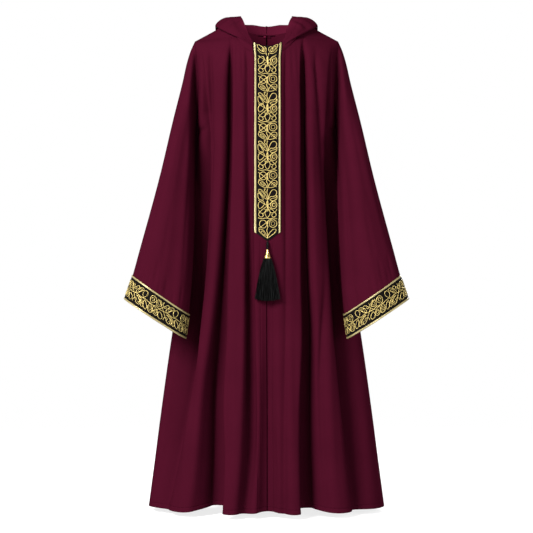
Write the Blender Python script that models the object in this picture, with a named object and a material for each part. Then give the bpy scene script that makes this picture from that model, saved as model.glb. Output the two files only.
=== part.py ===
"""Hooded abaya with wide sleeves, hollow as worn, hood lying back.

Metres, +Z up, the front facing -Y, +X to the right as a viewer sees the front. The origin is at
the height of the neck on the middle line: the cloth hangs from there, so heights are given as a
drop below it. Each panel is one wall of cloth. Its outer points are worked out from a section for
each height and moved in by the folds. The wall is then thickened inwards.
"""

import math

import bmesh
import bpy
import numpy as np

MM = 0.001

# Cloth and seams
CLOTH = 1.5 * MM
HOOD_CLOTH = 1.2 * MM
BAND_CLOTH = 1.2 * MM
BRAID = 1.0 * MM
SEAM_GAP = 0.3 * MM
LAY_GAP = 0.3 * MM
CUFF_GAP = 0.5 * MM
SLEEVE_GAP = 0.48 * MM

# Body
HEM_DROP = 1453 * MM
SHOULDER_X = np.array([0, 60, 108, 147, 212, 300]) * MM
SHOULDER_Z = np.array([2, 0, -14, -36, -71, -120]) * MM
TIP_X = 212 * MM
ROUNDING = 170 * MM
TIP_DROP = 71 * MM
UNDERARM_DROP = 335 * MM
ARMHOLE_DEPTH = 66 * MM
HEM_LIFT = 0.2

# Half width at the side edge, and where the side edge, the middle front and the middle back lie
WIDTH_DROP = np.array([0, 71, 130, 200, 270, 335, 400, 450, 500, 600, 800, 941, 1455]) * MM
HALF_WIDTH = np.array([212, 212, 206, 202, 203, 208, 211, 214, 219, 233, 261, 283, 352]) * MM
SECTION_DROP = np.array([0, 100, 200, 335, 500, 700, 950, 1200, 1455]) * MM
SIDE_Y = np.array([10, 12, 20, 32, 42, 52, 54, 42, 30]) * MM
FRONT_Y = np.array([-98, -106, -116, -121, -125, -133, -152, -176, -200]) * MM
BACK_Y = np.array([114, 122, 136, 140, 138, 146, 166, 186, 204]) * MM

# Neck: the height of the cloth's edge at each distance from the middle
FRONT_NECK_X = np.array([0, 40, 62, 84, 101, 108]) * MM
FRONT_NECK_Z = np.array([-104, -117, -104, -78, -40, -14]) * MM
BACK_NECK_X = np.array([0, 30, 55, 80, 98, 108]) * MM
BACK_NECK_Z = np.array([-43, -42, -38, -31, -22, -14]) * MM
NECK_X = 108 * MM

# Folds: for each valley its place, half width and depth in mm at each drop, and its lean
FOLD_DROP = np.array([60, 140, 430, 780, 925, 1100, 1300, 1450]) * MM
FRONT_FOLDS = {
    "left arm": (
        (-196, -192, -194, -218, -234, -262, -292, -312),
        (6, 7, 13, 20, 24, 27, 29, 31),
        (0, 4, 24, 40, 50, 46, 28, 14),
        0.0,
    ),
    "left chest": (
        (-166, -168, -170, -184, -192, -216, -242, -254),
        (9, 11, 13, 14, 15, 17, 18, 20),
        (0, 5, 9, 4, 0, 0, 0, 0),
        0.0,
    ),
    "left main": (
        (-104, -108, -117, -134, -143, -160, -168, -178),
        (6, 8, 11, 14, 17, 22, 27, 31),
        (2, 10, 18, 28, 40, 54, 66, 80),
        0.35,
    ),
    "left of placket": (
        (-56, -56, -54, -50, -50, -51, -56, -68),
        (9, 10, 11, 12, 13, 14, 16, 19),
        (0, 3, 7, 14, 16, 18, 18, 16),
        0.0,
    ),
    "right of placket": (
        (56, 56, 57, 57, 57, 56, 56, 56),
        (8, 8, 9, 9, 10, 11, 12, 13),
        (0, 3, 5, 3, 3, 4, 6, 7),
        0.0,
    ),
    "right main": (
        (108, 111, 117, 122, 127, 127, 131, 138),
        (7, 9, 11, 13, 15, 18, 20, 23),
        (2, 12, 20, 28, 38, 48, 56, 64),
        -0.35,
    ),
    "right chest": (
        (142, 147, 167, 172, 166, 163, 170, 178),
        (9, 10, 13, 15, 16, 17, 18, 19),
        (0, 7, 8, 5, 12, 20, 20, 18),
        0.0,
    ),
    "right arm": (
        (196, 192, 195, 219, 236, 254, 270, 282),
        (6, 7, 13, 20, 24, 27, 29, 31),
        (0, 4, 24, 40, 50, 48, 36, 24),
        0.0,
    ),
    "middle": (
        (4, 4, 4, 4, 4, 4, 4, 4),
        (28, 28, 30, 34, 36, 38, 42, 44),
        (0, 0, 0, 3, 8, 16, 28, 36),
        0.0,
    ),
}
BACK_FOLDS = {
    "back left side": (
        (-172, -172, -178, -204, -222, -240, -260, -274),
        (9, 11, 15, 18, 20, 24, 27, 30),
        (0, 5, 16, 26, 32, 38, 40, 40),
        0.2,
    ),
    "back left": (
        (-108, -108, -110, -118, -126, -136, -150, -160),
        (10, 12, 15, 17, 19, 23, 27, 30),
        (0, 3, 10, 22, 30, 42, 52, 58),
        -0.3,
    ),
    "back left of seam": (
        (-40, -38, -34, -32, -32, -34, -38, -42),
        (10, 12, 15, 17, 18, 20, 22, 24),
        (0, 0, 5, 12, 18, 26, 34, 38),
        0.25,
    ),
    "back right of seam": (
        (44, 44, 46, 50, 52, 52, 50, 48),
        (10, 11, 12, 13, 14, 16, 18, 20),
        (0, 3, 8, 12, 12, 14, 18, 22),
        0.0,
    ),
    "back right": (
        (108, 109, 112, 120, 126, 130, 134, 138),
        (10, 12, 15, 17, 19, 23, 26, 29),
        (0, 4, 12, 24, 32, 44, 54, 60),
        0.3,
    ),
    "back right side": (
        (172, 172, 180, 204, 220, 234, 250, 262),
        (9, 11, 15, 18, 20, 24, 27, 30),
        (0, 5, 16, 26, 32, 38, 42, 42),
        -0.2,
    ),
}
FRONT_ORDER = {
    -1: ("left of placket", "left main", "left chest", "left arm"),
    1: ("right of placket", "right main", "right chest", "right arm"),
}
BACK_ORDER = {
    -1: ("back left of seam", "back left", "back left side"),
    1: ("back right of seam", "back right", "back right side"),
}
FRONT_TOP_X = np.array([56, 108, 166, 196]) * MM
BACK_TOP_X = np.array([44, 108, 172]) * MM
# How far a fold's sides are drawn together, and the drops over which folds set in
PINCH = 0.45
FULL_PINCH_DEPTH = 24 * MM
FOLD_START = 30 * MM
FOLD_FULL = 150 * MM
# Folds fade out over this share of the half section beside the side edge
SIDE_FADE = 1 / 24

# Sleeves: the outer and inner edge as seen from the front, then the ring's middle and half depth
OUTER_DROP = np.array([71, 98, 130, 193, 300, 478, 692, 766, 836]) * MM
OUTER_X = np.array([212, 224, 234, 248, 274, 314, 370, 390, 414]) * MM
INNER_DROP = np.array([335, 400, 560, 690, 790, 880, 952]) * MM
INNER_X = np.array([206, 209, 210, 214, 219, 226, 236]) * MM
ALONG = np.array([0, 0.1, 0.25, 0.5, 0.75, 0.91, 1])
OUTER_DROP_ALONG = np.array([71, 147, 261, 453, 644, 766, 836]) * MM
INNER_DROP_ALONG = np.array([335, 396, 485, 634, 784, 880, 952]) * MM
MIDDLE_Y = np.array([26, 10, -16, -50, -72, -82, -86]) * MM
RING_DEPTH = np.array([66, 62, 56, 57, 62, 66, 68]) * MM
SLEEVE_JOIN = 0.3
SLEEVE_FOLDS = {
    # turn where the valley starts and ends, half width, depth in mm at top, middle and cuff
    -1: (
        (0.24, 0.30, 0.055, 2, 8, 7),
        (0.40, 0.43, 0.045, 1, 4, 2),
        (-0.30, -0.24, 0.060, 2, 12, 12),
        (-0.42, -0.38, 0.045, 1, 7, 5),
    ),
    1: (
        (0.30, 0.37, 0.050, 4, 14, 8),
        (0.12, 0.14, 0.050, 0, 5, 4),
        (-0.28, -0.22, 0.060, 2, 12, 12),
        (-0.40, -0.37, 0.045, 1, 7, 5),
    ),
}

# Cuff bands and their braids, as shares of the way along the sleeve
CUFF_START = 0.91
CUFF_END = 1.0
BRAID_ALONG = 0.0065

# Placket: half width, its shift from the middle line, its top edge, corners and point
PLACKET_HALF = 39.5 * MM
PLACKET_X = 3 * MM
PLACKET_TOP_Z = -86 * MM
PLACKET_TOP_DIP = 13 * MM
PLACKET_CORNER_DROP = 640 * MM
PLACKET_POINT_DROP = 668 * MM
# The band opens out by this factor between these drops, from the lower to the upper
PLACKET_FLARE = 1.08
FLARE_DROP = (140 * MM, 90 * MM)
BRAID_COLUMNS = (3, 4)

# Hood, right half, in mm: a row for each share of the way round the neck, from the placket, 0, past
# the shoulder, 0.543, to the centre back, 1. The cloth goes from the neck seam up to the stand, then
# under, round the low fold, over, and to the face edge. The stand is set from the seam, and under
# and fold by x, z and their distance from the body.
HOOD_ROWS = {
    # share: (stand dx, dy, dz, under x, z, off, fold x, z, off, over x, y, z, edge x, y, z)
    0.000: (0.2, 1, 4, 45, -106, 0, 45, -99, 4, 44.5, -98, -93, 43.5, -93, -86),
    0.100: (-0.4, 0.5, 4, 68.5, -89, 1, 66, -83, 6, 59, -91, -78, 50, -86, -72),
    0.170: (0, -2, 3, 82, -76, 4, 81, -73, 9, 70, -86, -68, 54, -78, -60),
    0.275: (0.5, -4, 5, 97, -57, 6, 101, -60, 11, 85, -75, -50, 61, -60, -38),
    0.385: (1, -3, 6, 112, -40, 6, 122, -48, 11, 100, -54, -26, 69, -34, -14),
    0.470: (0, -1, 6, 119, -27, 6, 137, -39, 11, 110, -24, -9, 75, -12, -2),
    0.543: (-1.5, 0, 6, 126, -17, 6, 149, -28, 8, 120, 4, -3, 78, 10, 4),
    0.700: (-5, 5, 12, 118, -44, 8, 143, -66, 10, 138, 76, -20, 106, 82, -2),
    0.850: (-9, 15, 27, 90, -106, 8, 106, -174, 10, 108, 152, -94, 82, 140, -24),
    1.000: (0, 16, 26, 0, -136, 8, 0, -256, 10, 0, 180, -150, 0, 166, -44),
}
HOOD_SHARES = np.array([0, 0.12, 0.34, 0.54, 0.58, 0.62, 0.82, 1])
HOOD_DOWN = (0, 0.06, 0.12, 0.19, 0.27, 0.36, 0.45, 0.54, 0.58, 0.62, 0.68, 0.75, 0.83, 0.92, 1)
# Least distance from the body at each of those shares of the way up the hood's cloth
HOOD_CLEAR = np.array([0, 2.5, 6.5, 6.5, 10, 13, 13, 13]) * MM
# The low fold is a round of this radius. It turns towards the front by FOLD_FORWARD.
FOLD_ROUND = 3.5 * MM
FOLD_FORWARD = 30 * MM
# Before this share of the neck the hood only rolls over, and after the second it is a whole fold
FOLD_FROM = 0.2
FOLD_WHOLE = 0.42
# The roll: its bulge, then the shares of its rise, and of the bulge, at stand, under and below
ROLL_BULGE = 1.2 * MM
ROLL_RISE = (0.25, 0.6, 0.88)
ROLL_BULGES = (0.7, 1.0, 0.5)
ROLL_OVER = (0.15, 1.6)
SHOULDER_STATION = 0.56
HOOD_LIFT = 0.5 * MM

# Samples of the body's surface that the hood is kept clear of
BODY_SAMPLES = 161
SAMPLE_REACH = 200 * MM
SAMPLE_FALL = 300 * MM
SAMPLE_NEAR = 6 * MM

# Closing at the back of the neck
SLIT_DROP = 130 * MM
SLIT_HALF = 0.8 * MM
BUTTON_RADIUS = 4.5 * MM
BUTTON_DEPTH = 3.2 * MM
BUTTON_X = -5.2 * MM
BUTTON_Z = -47 * MM
LOOP_X = 8 * MM
LOOP_HALF_LENGTH = 4.6 * MM
LOOP_HALF_HEIGHT = 2.6 * MM
LOOP_THREAD = 0.8 * MM
# The button's profile: shares of its radius and of its depth
BUTTON_PROFILE = ((0.72, 0), (1.0, 0.25), (1.0, 0.6), (0.6, 1.0))
BUTTON_SEGMENTS = 14
BUTTON_STAND_OFF = 0.7 * MM

# Tassel
CORD_RADIUS = 3.4 * MM
CORD_LENGTH = 22 * MM
CORD_GAP = 0.4 * MM
CAP_LENGTH = 25 * MM
CAP_TOP_RADIUS = 3.2 * MM
CAP_BOTTOM_RADIUS = 10.5 * MM
CAP_WALL = 1.0 * MM
HEAD_RADIUS = 8.8 * MM
HEAD_LENGTH = 5 * MM
STRANDS_ACROSS = 8
STRANDS_DEEP = 6
STRAND_LENGTH = 121 * MM
STRAND_ROOT = 0.71
STRAND_BELLY = (0.62, 0.62, 0.5)
STRAND_WAVE = 1.5 * MM
STRAND_ROUND = 4 * MM
FRINGE_HALF_WIDTH = 35 * MM
FRINGE_HALF_DEPTH = 10 * MM
STRAND_TIP = (1.5 * MM, 0.9 * MM)
TASSEL_STAND_OFF = 12.5 * MM

# Grid sizes: columns between neighbouring folds, and rows down each stretch
PLACKET_SHARES = np.array([0.4, 0.75, 0.82, 0.96, 1])
CHEST_SHARES = (0.096, 0.27, 0.48, 0.68, 0.83, 0.91, 0.965, 1)
FRONT_STEPS = (2, len(CHEST_SHARES), 4, 4, 4)
BACK_STEPS = (3, 5, 5, 4)
ARMHOLE_ROWS = 12
WAIST_ROWS = 3
SKIRT_ROWS = 6
SLEEVE_ROWS = 9

COLOURS = {
    # base colour, roughness, metallic
    "wine crepe": ((0.095, 0.012, 0.030, 1), 0.78, 0.0),
    "black band": ((0.012, 0.011, 0.012, 1), 0.85, 0.0),
    "gold braid": ((0.72, 0.52, 0.20, 1), 0.42, 0.6),
    "black silk": ((0.010, 0.010, 0.011, 1), 0.6, 0.0),
    "gold metal": ((0.85, 0.66, 0.36, 1), 0.25, 1.0),
}


def clear_scene():
    """Removes whatever the scene holds."""
    for item in list(bpy.data.objects):
        bpy.data.objects.remove(item)


def material(name):
    """The named Principled material, made once."""
    found = bpy.data.materials.get(name)
    if found:
        return found
    colour, roughness, metallic = COLOURS[name]
    made = bpy.data.materials.new(name)
    made.use_nodes = True
    shader = made.node_tree.nodes["Principled BSDF"]
    shader.inputs["Base Color"].default_value = colour
    shader.inputs["Roughness"].default_value = roughness
    shader.inputs["Metallic"].default_value = metallic
    made.diffuse_color = colour
    return made


def curve(stations, values, at):
    """Values between a table's stations on a smooth cubic, held at its ends."""
    stations = np.asarray(stations, float)
    values = np.asarray(values, float)
    at = np.clip(np.asarray(at, float), stations[0], stations[-1])
    slopes = np.gradient(values, stations, axis=0)
    low = np.clip(np.searchsorted(stations, at, side="right") - 1, 0, len(stations) - 2)
    span = stations[low + 1] - stations[low]
    u = (at - stations[low]) / span
    if values.ndim > 1:
        u = u[..., None]
        span = span[..., None]
    start = (1 + 2 * u) * (1 - u) ** 2
    end = u**2 * (3 - 2 * u)
    rise = span * (u * (1 - u) ** 2 * slopes[low] + u**2 * (u - 1) * slopes[low + 1])
    return start * values[low] + end * values[low + 1] + rise


def ease(u):
    """0 to 1 with flat ends."""
    u = np.clip(u, 0, 1)
    return u * u * (3 - 2 * u)


def unit(vectors):
    """The same directions at length one."""
    return vectors / np.maximum(np.linalg.norm(vectors, axis=-1, keepdims=True), 1e-12)


def shoulder_height(x):
    """Height of the shoulder line at this distance from the middle."""
    return curve(SHOULDER_X, SHOULDER_Z, np.abs(x))


def armhole_depth(drop):
    """Half the armhole's depth at this drop: an ellipse from shoulder tip to underarm."""
    middle = (TIP_DROP + UNDERARM_DROP) / 2
    half = (UNDERARM_DROP - TIP_DROP) / 2
    return ARMHOLE_DEPTH * np.sqrt(np.clip(1 - ((drop - middle) / half) ** 2, 0, 1))


def folds_at(folds, x, drop):
    """Depth of the folds and their sideways shift at a place on a panel."""
    depth = np.zeros_like(x)
    shift = np.zeros_like(x)
    for places, widths, depths, lean in folds.values():
        centre = curve(FOLD_DROP, np.array(places) * MM, drop)
        width = curve(FOLD_DROP, np.array(widths) * MM, drop)
        deep = np.maximum(curve(FOLD_DROP, np.array(depths) * MM, drop), 0)
        away = (x - centre) / width
        valley = np.exp(-(away**2))
        depth += deep * valley
        strength = ease(deep / FULL_PINCH_DEPTH)
        shift += strength * width * valley * (lean - PINCH * away)
    return depth, shift


def body_point(x, drop, half):
    """Outer points of the front (half -1) or back (half 1), and the folds' depth there.

    The section at each drop is half an ellipse between the side edges, x its distance from the
    middle line. Near the shoulders it closes over on a round of radius ROUNDING. Beside the
    armhole it stops short by the armhole's depth. The folds then move the point in along the
    ellipse's normal, and a little sideways.
    """
    x, drop = np.broadcast_arrays(np.asarray(x, float), np.asarray(drop, float))
    reach = curve(WIDTH_DROP, HALF_WIDTH, drop)
    sine = np.clip(x / reach, -1, 1)
    cosine = np.sqrt(1 - sine**2)
    below = np.clip((shoulder_height(x) + drop) / ROUNDING, 0, 1)
    rounded = np.sqrt(1 - (1 - below) ** 2)
    side_y = curve(SECTION_DROP, SIDE_Y, drop)
    middle_y = curve(SECTION_DROP, FRONT_Y if half < 0 else BACK_Y, drop)
    full = half * (middle_y - side_y)
    arm = armhole_depth(drop)
    depth = rounded * (full - arm) * cosine + arm
    fold, shift = folds_at(FRONT_FOLDS if half < 0 else BACK_FOLDS, x, drop)
    growth = ease((drop - FOLD_START) / (FOLD_FULL - FOLD_START)) * ease(below * 2)
    edge = ease((1 - np.abs(sine)) / SIDE_FADE)
    fold = fold * growth * edge
    normal_x = sine * full
    normal_y = cosine * reach
    length = np.hypot(normal_x, normal_y)
    shift = shift * growth * edge
    x = x + (shift * normal_y - fold * normal_x) / length
    y = side_y + half * (depth - (fold * normal_y + shift * normal_x) / length)
    return np.stack([x, y, -drop], -1), fold


def grid_normals(points, around):
    """Unit normals of a grid of points, its columns closed round or open."""
    down = np.gradient(points, axis=0)
    if around:
        across = (np.roll(points, -1, 1) - np.roll(points, 1, 1)) / 2
    else:
        across = np.gradient(points, axis=1)
    return unit(np.cross(across, down))


def make_object(name, points, faces, finish, smooth_angle=40):
    """A mesh object of these points and faces, shaded smooth, its faces turned outwards."""
    mesh = bpy.data.meshes.new(name)
    mesh.from_pydata(np.asarray(points).tolist(), [], faces)
    shape = bmesh.new()
    shape.from_mesh(mesh)
    bmesh.ops.recalc_face_normals(shape, faces=shape.faces)
    shape.to_mesh(mesh)
    shape.free()
    mesh.materials.append(material(finish))
    mesh.shade_smooth()
    mesh.set_sharp_from_angle(angle=math.radians(smooth_angle))
    item = bpy.data.objects.new(name, mesh)
    bpy.context.scene.collection.objects.link(item)
    return item


def split_cells(corners, shorter_first):
    """Two triangles for each four-cornered cell, cut along the diagonal that is marked."""
    a, b, c, d = corners
    one = np.where(shorter_first, a, b), np.where(shorter_first, b, c), np.where(shorter_first, c, d)
    two = np.where(shorter_first, a, b), np.where(shorter_first, c, d), np.where(shorter_first, d, a)
    return np.concatenate([np.stack(one, 1), np.stack(two, 1)])


def wall(name, outer, normals, thickness, finish, around=False, guide=None):
    """A closed wall of cloth: the outer grid, the same grid moved in, and its edges closed.

    Both faces of the wall are cut along the same diagonals, the shorter ones of the guide grid.
    """
    rows, columns = outer.shape[:2]
    inner = outer - normals * thickness
    points = np.concatenate([outer.reshape(-1, 3), inner.reshape(-1, 3)])
    offset = rows * columns
    number = np.arange(offset).reshape(rows, columns)
    if around:
        number = np.concatenate([number, number[:, :1]], axis=1)
    corners = [number[:-1, :-1], number[:-1, 1:], number[1:, 1:], number[1:, :-1]]
    a, b, c, d = (corner.ravel() for corner in corners)
    flat = (outer if guide is None else guide).reshape(-1, 3)
    first = np.linalg.norm(flat[a] - flat[c], axis=1)
    second = np.linalg.norm(flat[b] - flat[d], axis=1)
    cells = split_cells((a, b, c, d), first <= second)
    faces = cells.tolist() + (cells[:, ::-1] + offset).tolist()
    rims = [number[0], number[-1][::-1]]
    if not around:
        rims += [number[::-1, 0], number[:, -1]]
    for rim in rims:
        for first, second in zip(rim[:-1].tolist(), rim[1:].tolist()):
            faces.append([second, first, first + offset, second + offset])
    return make_object(name, points, faces, finish)


def crowd_ends(count, amount=0.5):
    """Shares from 0 to 1, without the 0, closer together at both ends."""
    even = np.arange(1, count + 1) / count
    return even - amount * np.sin(2 * math.pi * even) / (2 * math.pi)


def placket_half_width(drop):
    """Half the placket's width, opening out a little towards its top edge."""
    start, end = FLARE_DROP
    return PLACKET_HALF * (1 + (PLACKET_FLARE - 1) * ease((start - drop) / (start - end)))


def panel_columns(side, half, drop, top_share):
    """Distances from the middle of a panel's columns at these drops, one row for each drop.

    Columns run along the placket's edge lines and along the folds, so that each valley has a
    column at its bottom. Top share blends them into their places on the top edge.
    """
    drop = np.asarray(drop, float)
    order = FRONT_ORDER[side] if half < 0 else BACK_ORDER[side]
    folds = FRONT_FOLDS if half < 0 else BACK_FOLDS
    tops = FRONT_TOP_X if half < 0 else BACK_TOP_X
    steps = FRONT_STEPS if half < 0 else BACK_STEPS
    columns = [np.zeros_like(drop)]
    if half < 0:
        for share in PLACKET_SHARES:
            columns.append(PLACKET_X * side + share * placket_half_width(drop))
    reach = curve(WIDTH_DROP, HALF_WIDTH, drop)
    keys = []
    for name, top in zip(order, tops):
        place = np.abs(curve(FOLD_DROP, np.array(folds[name][0]) * MM, drop))
        keys.append(top + (place - top) * top_share)
    keys.append(reach)
    start = columns[-1]
    for number, (key, count) in enumerate(zip(keys, steps)):
        if number < len(keys) - 1:
            shares = crowd_ends(count) if number else np.arange(1, count + 1) / count
            if half < 0 and number == 1:
                shares = CHEST_SHARES
            for share in shares:
                columns.append(start + (key - start) * share)
        else:
            first = np.arcsin(np.clip(start / reach, 0, 1))
            for share in np.arange(1, count + 1) / count:
                angle = first + (math.pi / 2 - first) * share
                columns.append(reach * np.sin(angle))
        start = key
    return side * np.stack(columns, -1)


def panel_drops(side, half):
    """Places across and drops of a panel's grid, a row at a time from the top edge to the hem."""
    neck_x = FRONT_NECK_X if half < 0 else BACK_NECK_X
    neck_z = FRONT_NECK_Z if half < 0 else BACK_NECK_Z
    reach = np.abs(panel_columns(side, half, np.array([TIP_DROP]), 0.0)[0])
    for _ in range(2):
        on_neck = reach < NECK_X - 1e-6
        top = -np.where(on_neck, curve(neck_x, neck_z, reach), shoulder_height(reach))
        reach = np.abs(np.diagonal(panel_columns(side, half, top, 0.0)))
    zero = side * reach
    across = reach / TIP_X
    even = np.arange(ARMHOLE_ROWS + 1) / ARMHOLE_ROWS
    by_angle = (1 - np.cos(even * math.pi)) / 2
    by_power = even**1.7
    weight = across[None, :] ** 6
    down = by_angle[:, None] * weight + by_power[:, None] * (1 - weight)
    upper = top + (UNDERARM_DROP - top) * down
    corner = np.full_like(reach, PLACKET_CORNER_DROP)
    if half < 0:
        from_middle = np.abs(side * reach - PLACKET_X) / PLACKET_HALF
        corner += (PLACKET_POINT_DROP - PLACKET_CORNER_DROP) * np.clip(1 - from_middle, 0, 1)
    waist = np.arange(1, WAIST_ROWS + 1)[:, None] / WAIST_ROWS
    middle = UNDERARM_DROP + (corner - UNDERARM_DROP) * waist
    skirt = np.arange(1, SKIRT_ROWS + 1)[:, None] / SKIRT_ROWS
    lower = corner + (HEM_DROP - corner) * skirt
    drop = np.concatenate([upper, middle, lower])
    x = np.empty_like(drop)
    top_share = ease(np.linspace(0, 1, ARMHOLE_ROWS + 1) * 1.6)
    for row in range(len(drop)):
        share = top_share[row] if row <= ARMHOLE_ROWS else 1.0
        table = panel_columns(side, half, drop[row], share)
        x[row] = np.diagonal(table)
    x[0] = zero
    return x, drop


def panel_grid(side, half):
    """Outer points and outward normals of one half of the front or back."""
    x, drop = panel_drops(side, half)
    fold = body_point(x[-1], drop[-1], half)[1]
    drop[-1] -= HEM_LIFT * fold
    points = body_point(x, drop, half)[0]
    normals = grid_normals(points, False)
    normals *= np.sign(normals[ARMHOLE_ROWS, 6, 1]) * half
    shoulder = np.abs(x[0]) >= NECK_X - 1e-6
    normals[0, shoulder, 1] = 0
    normals[0, shoulder, 2] = np.maximum(normals[0, shoulder, 2], 0.3)
    normals[0, np.argmax(shoulder) - 1, 1] *= 0.5
    normals[ARMHOLE_ROWS:, -1, 1] = 0
    normals[:, -1, 0] = side * np.maximum(side * normals[:, -1, 0], 0)
    normals[:, 0, 0] = 0
    normals = unit(normals)
    points[..., 1] += half * SEAM_GAP / 2
    points[..., 0] += side * SEAM_GAP / 2
    if half > 0:
        open_part = ease((SLIT_DROP - drop[:, 0]) / (40 * MM))
        points[:, 0, 0] += side * SLIT_HALF * open_part
    return points, normals


def sleeve_oval(along, angle, fold):
    """Points of the oval between a sleeve's outer and inner edge, its depth less the folds."""
    outer_drop = curve(ALONG, OUTER_DROP_ALONG, along)
    inner_drop = curve(ALONG, INNER_DROP_ALONG, along)
    outer_x = curve(OUTER_DROP, OUTER_X, outer_drop)
    inner_x = curve(INNER_DROP, INNER_X, inner_drop)
    deep = curve(ALONG, RING_DEPTH, along)
    x = (outer_x + inner_x) / 2 + (outer_x - inner_x) / 2 * np.cos(angle)
    drop = (outer_drop + inner_drop) / 2 + (outer_drop - inner_drop) / 2 * np.cos(angle)
    y = curve(ALONG, MIDDLE_Y, along) - np.sin(angle) * (deep - fold)
    return np.stack([x, y, -drop], -1)


def sleeve_ring(side, along, turn):
    """Outer points of a sleeve.

    Along runs from the armhole, 0, to the edge of the cuff, 1. Turn runs round the ring, 0 at the
    outer edge, 0.25 at the front, 0.5 at the inner edge. Each ring is an oval, and the first is
    pulled onto the armhole itself.
    """
    along, turn = np.broadcast_arrays(np.asarray(along, float), np.asarray(turn, float))
    angle = turn * 2 * math.pi
    fold = np.zeros_like(along)
    for start, end, width, top, mid, low in SLEEVE_FOLDS[side]:
        centre = start + (end - start) * along
        away = (turn - centre + 0.5) % 1 - 0.5
        depth = curve([0, 0.5, 1], np.array([top, mid, low]) * MM, along)
        fold = fold + depth * np.exp(-((away / width) ** 2))
    fold = fold * ease(along * 5)
    points = sleeve_oval(along, angle, fold)
    arm_middle = (TIP_DROP + UNDERARM_DROP) / 2
    arm_half = (UNDERARM_DROP - TIP_DROP) / 2
    arm_drop = arm_middle - arm_half * np.cos(angle)
    arm_x = curve(WIDTH_DROP, HALF_WIDTH, arm_drop)
    arm_y = curve(SECTION_DROP, SIDE_Y, arm_drop) - ARMHOLE_DEPTH * np.sin(angle)
    armhole = np.stack([arm_x, arm_y, -arm_drop], -1)
    first = sleeve_oval(np.zeros_like(along), angle, 0)
    points = points + (armhole - first) * (1 - ease(along / SLEEVE_JOIN))[..., None]
    points[..., 0] += SLEEVE_GAP
    return points * np.array([side, 1, 1])


def sleeve_grid(side):
    """Points and outward normals of a sleeve, its last four rows at the cuff band's edges."""
    upper = np.concatenate([[0, 0.05, 0.11], np.linspace(0.2, CUFF_START, SLEEVE_ROWS - 3)])
    cuff = [CUFF_START + BRAID_ALONG, CUFF_END - BRAID_ALONG, CUFF_END]
    alongs = np.concatenate([upper, cuff])[:, None]
    turns = np.arange(2 * ARMHOLE_ROWS)[None, :] / (2 * ARMHOLE_ROWS)
    points = sleeve_ring(side, alongs, turns)
    step = 0.004
    along = np.clip(alongs, step, 1 - step)
    down = sleeve_ring(side, along + step, turns) - sleeve_ring(side, along - step, turns)
    aside = sleeve_ring(side, along, turns + step) - sleeve_ring(side, along, turns - step)
    normals = unit(np.cross(down, aside))
    centre = points.mean(axis=1, keepdims=True)
    normals *= np.sign(np.sum(normals * (points - centre), axis=2).mean())
    normals[0, :, 0] = 0
    return points, unit(normals)


def neck_edge(side, front, back):
    """The neck edge of one half, from beside the placket past the shoulder to the centre back."""
    front_end = len(PLACKET_SHARES) + sum(FRONT_STEPS[:2])
    back_end = sum(BACK_STEPS[:2])
    ahead = front[0, len(PLACKET_SHARES) : front_end + 1].copy()
    ahead[0, 0] += side * 2 * SEAM_GAP
    behind = back[0, :back_end][::-1]
    return np.concatenate([ahead, behind])


def rest_on_body(points, clear):
    """The same points, moved out of the body's surface until they are clear of it."""
    reach = np.linspace(-SAMPLE_REACH, SAMPLE_REACH, BODY_SAMPLES)
    x, t = np.meshgrid(reach, np.linspace(-1, 1, BODY_SAMPLES), indexing="ij")
    drop = -shoulder_height(x) + SAMPLE_FALL * t**2
    ahead = body_point(x, drop, -1)[0]
    behind = body_point(x, drop, 1)[0]
    surface = np.where((t < 0)[..., None], ahead, behind)
    facing = grid_normals(surface, False)
    facing *= -np.sign(facing[BODY_SAMPLES // 2, 0, 1])
    neck = np.where(
        t < 0, curve(FRONT_NECK_X, FRONT_NECK_Z, np.abs(x)), curve(BACK_NECK_X, BACK_NECK_Z, np.abs(x))
    )
    there = (np.abs(x) > NECK_X) | (surface[..., 2] < neck)
    surface = surface[there]
    facing = facing[there]
    flat = points.reshape(-1, 3)
    moved = flat.copy()
    for number, (point, gap) in enumerate(zip(flat, clear.ravel())):
        away = point - surface
        nearest = np.argmin(np.sum(away**2, axis=1))
        outward = facing[nearest]
        height = away[nearest] @ outward
        aside = np.linalg.norm(away[nearest] - height * outward)
        if height < gap and aside < SAMPLE_NEAR:
            moved[number] = point + outward * (gap - height)
    return moved.reshape(points.shape)


def on_body(x, z, off, half):
    """Points this far off the body's unfolded front or back, at these places across and heights."""
    ahead = body_point(x, -z, -1)[0]
    behind = body_point(x, -z, 1)[0]
    surface = np.where((half < 0)[:, None], ahead, behind)
    return np.stack([x, surface[:, 1] + half * off, z], 1)


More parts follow.
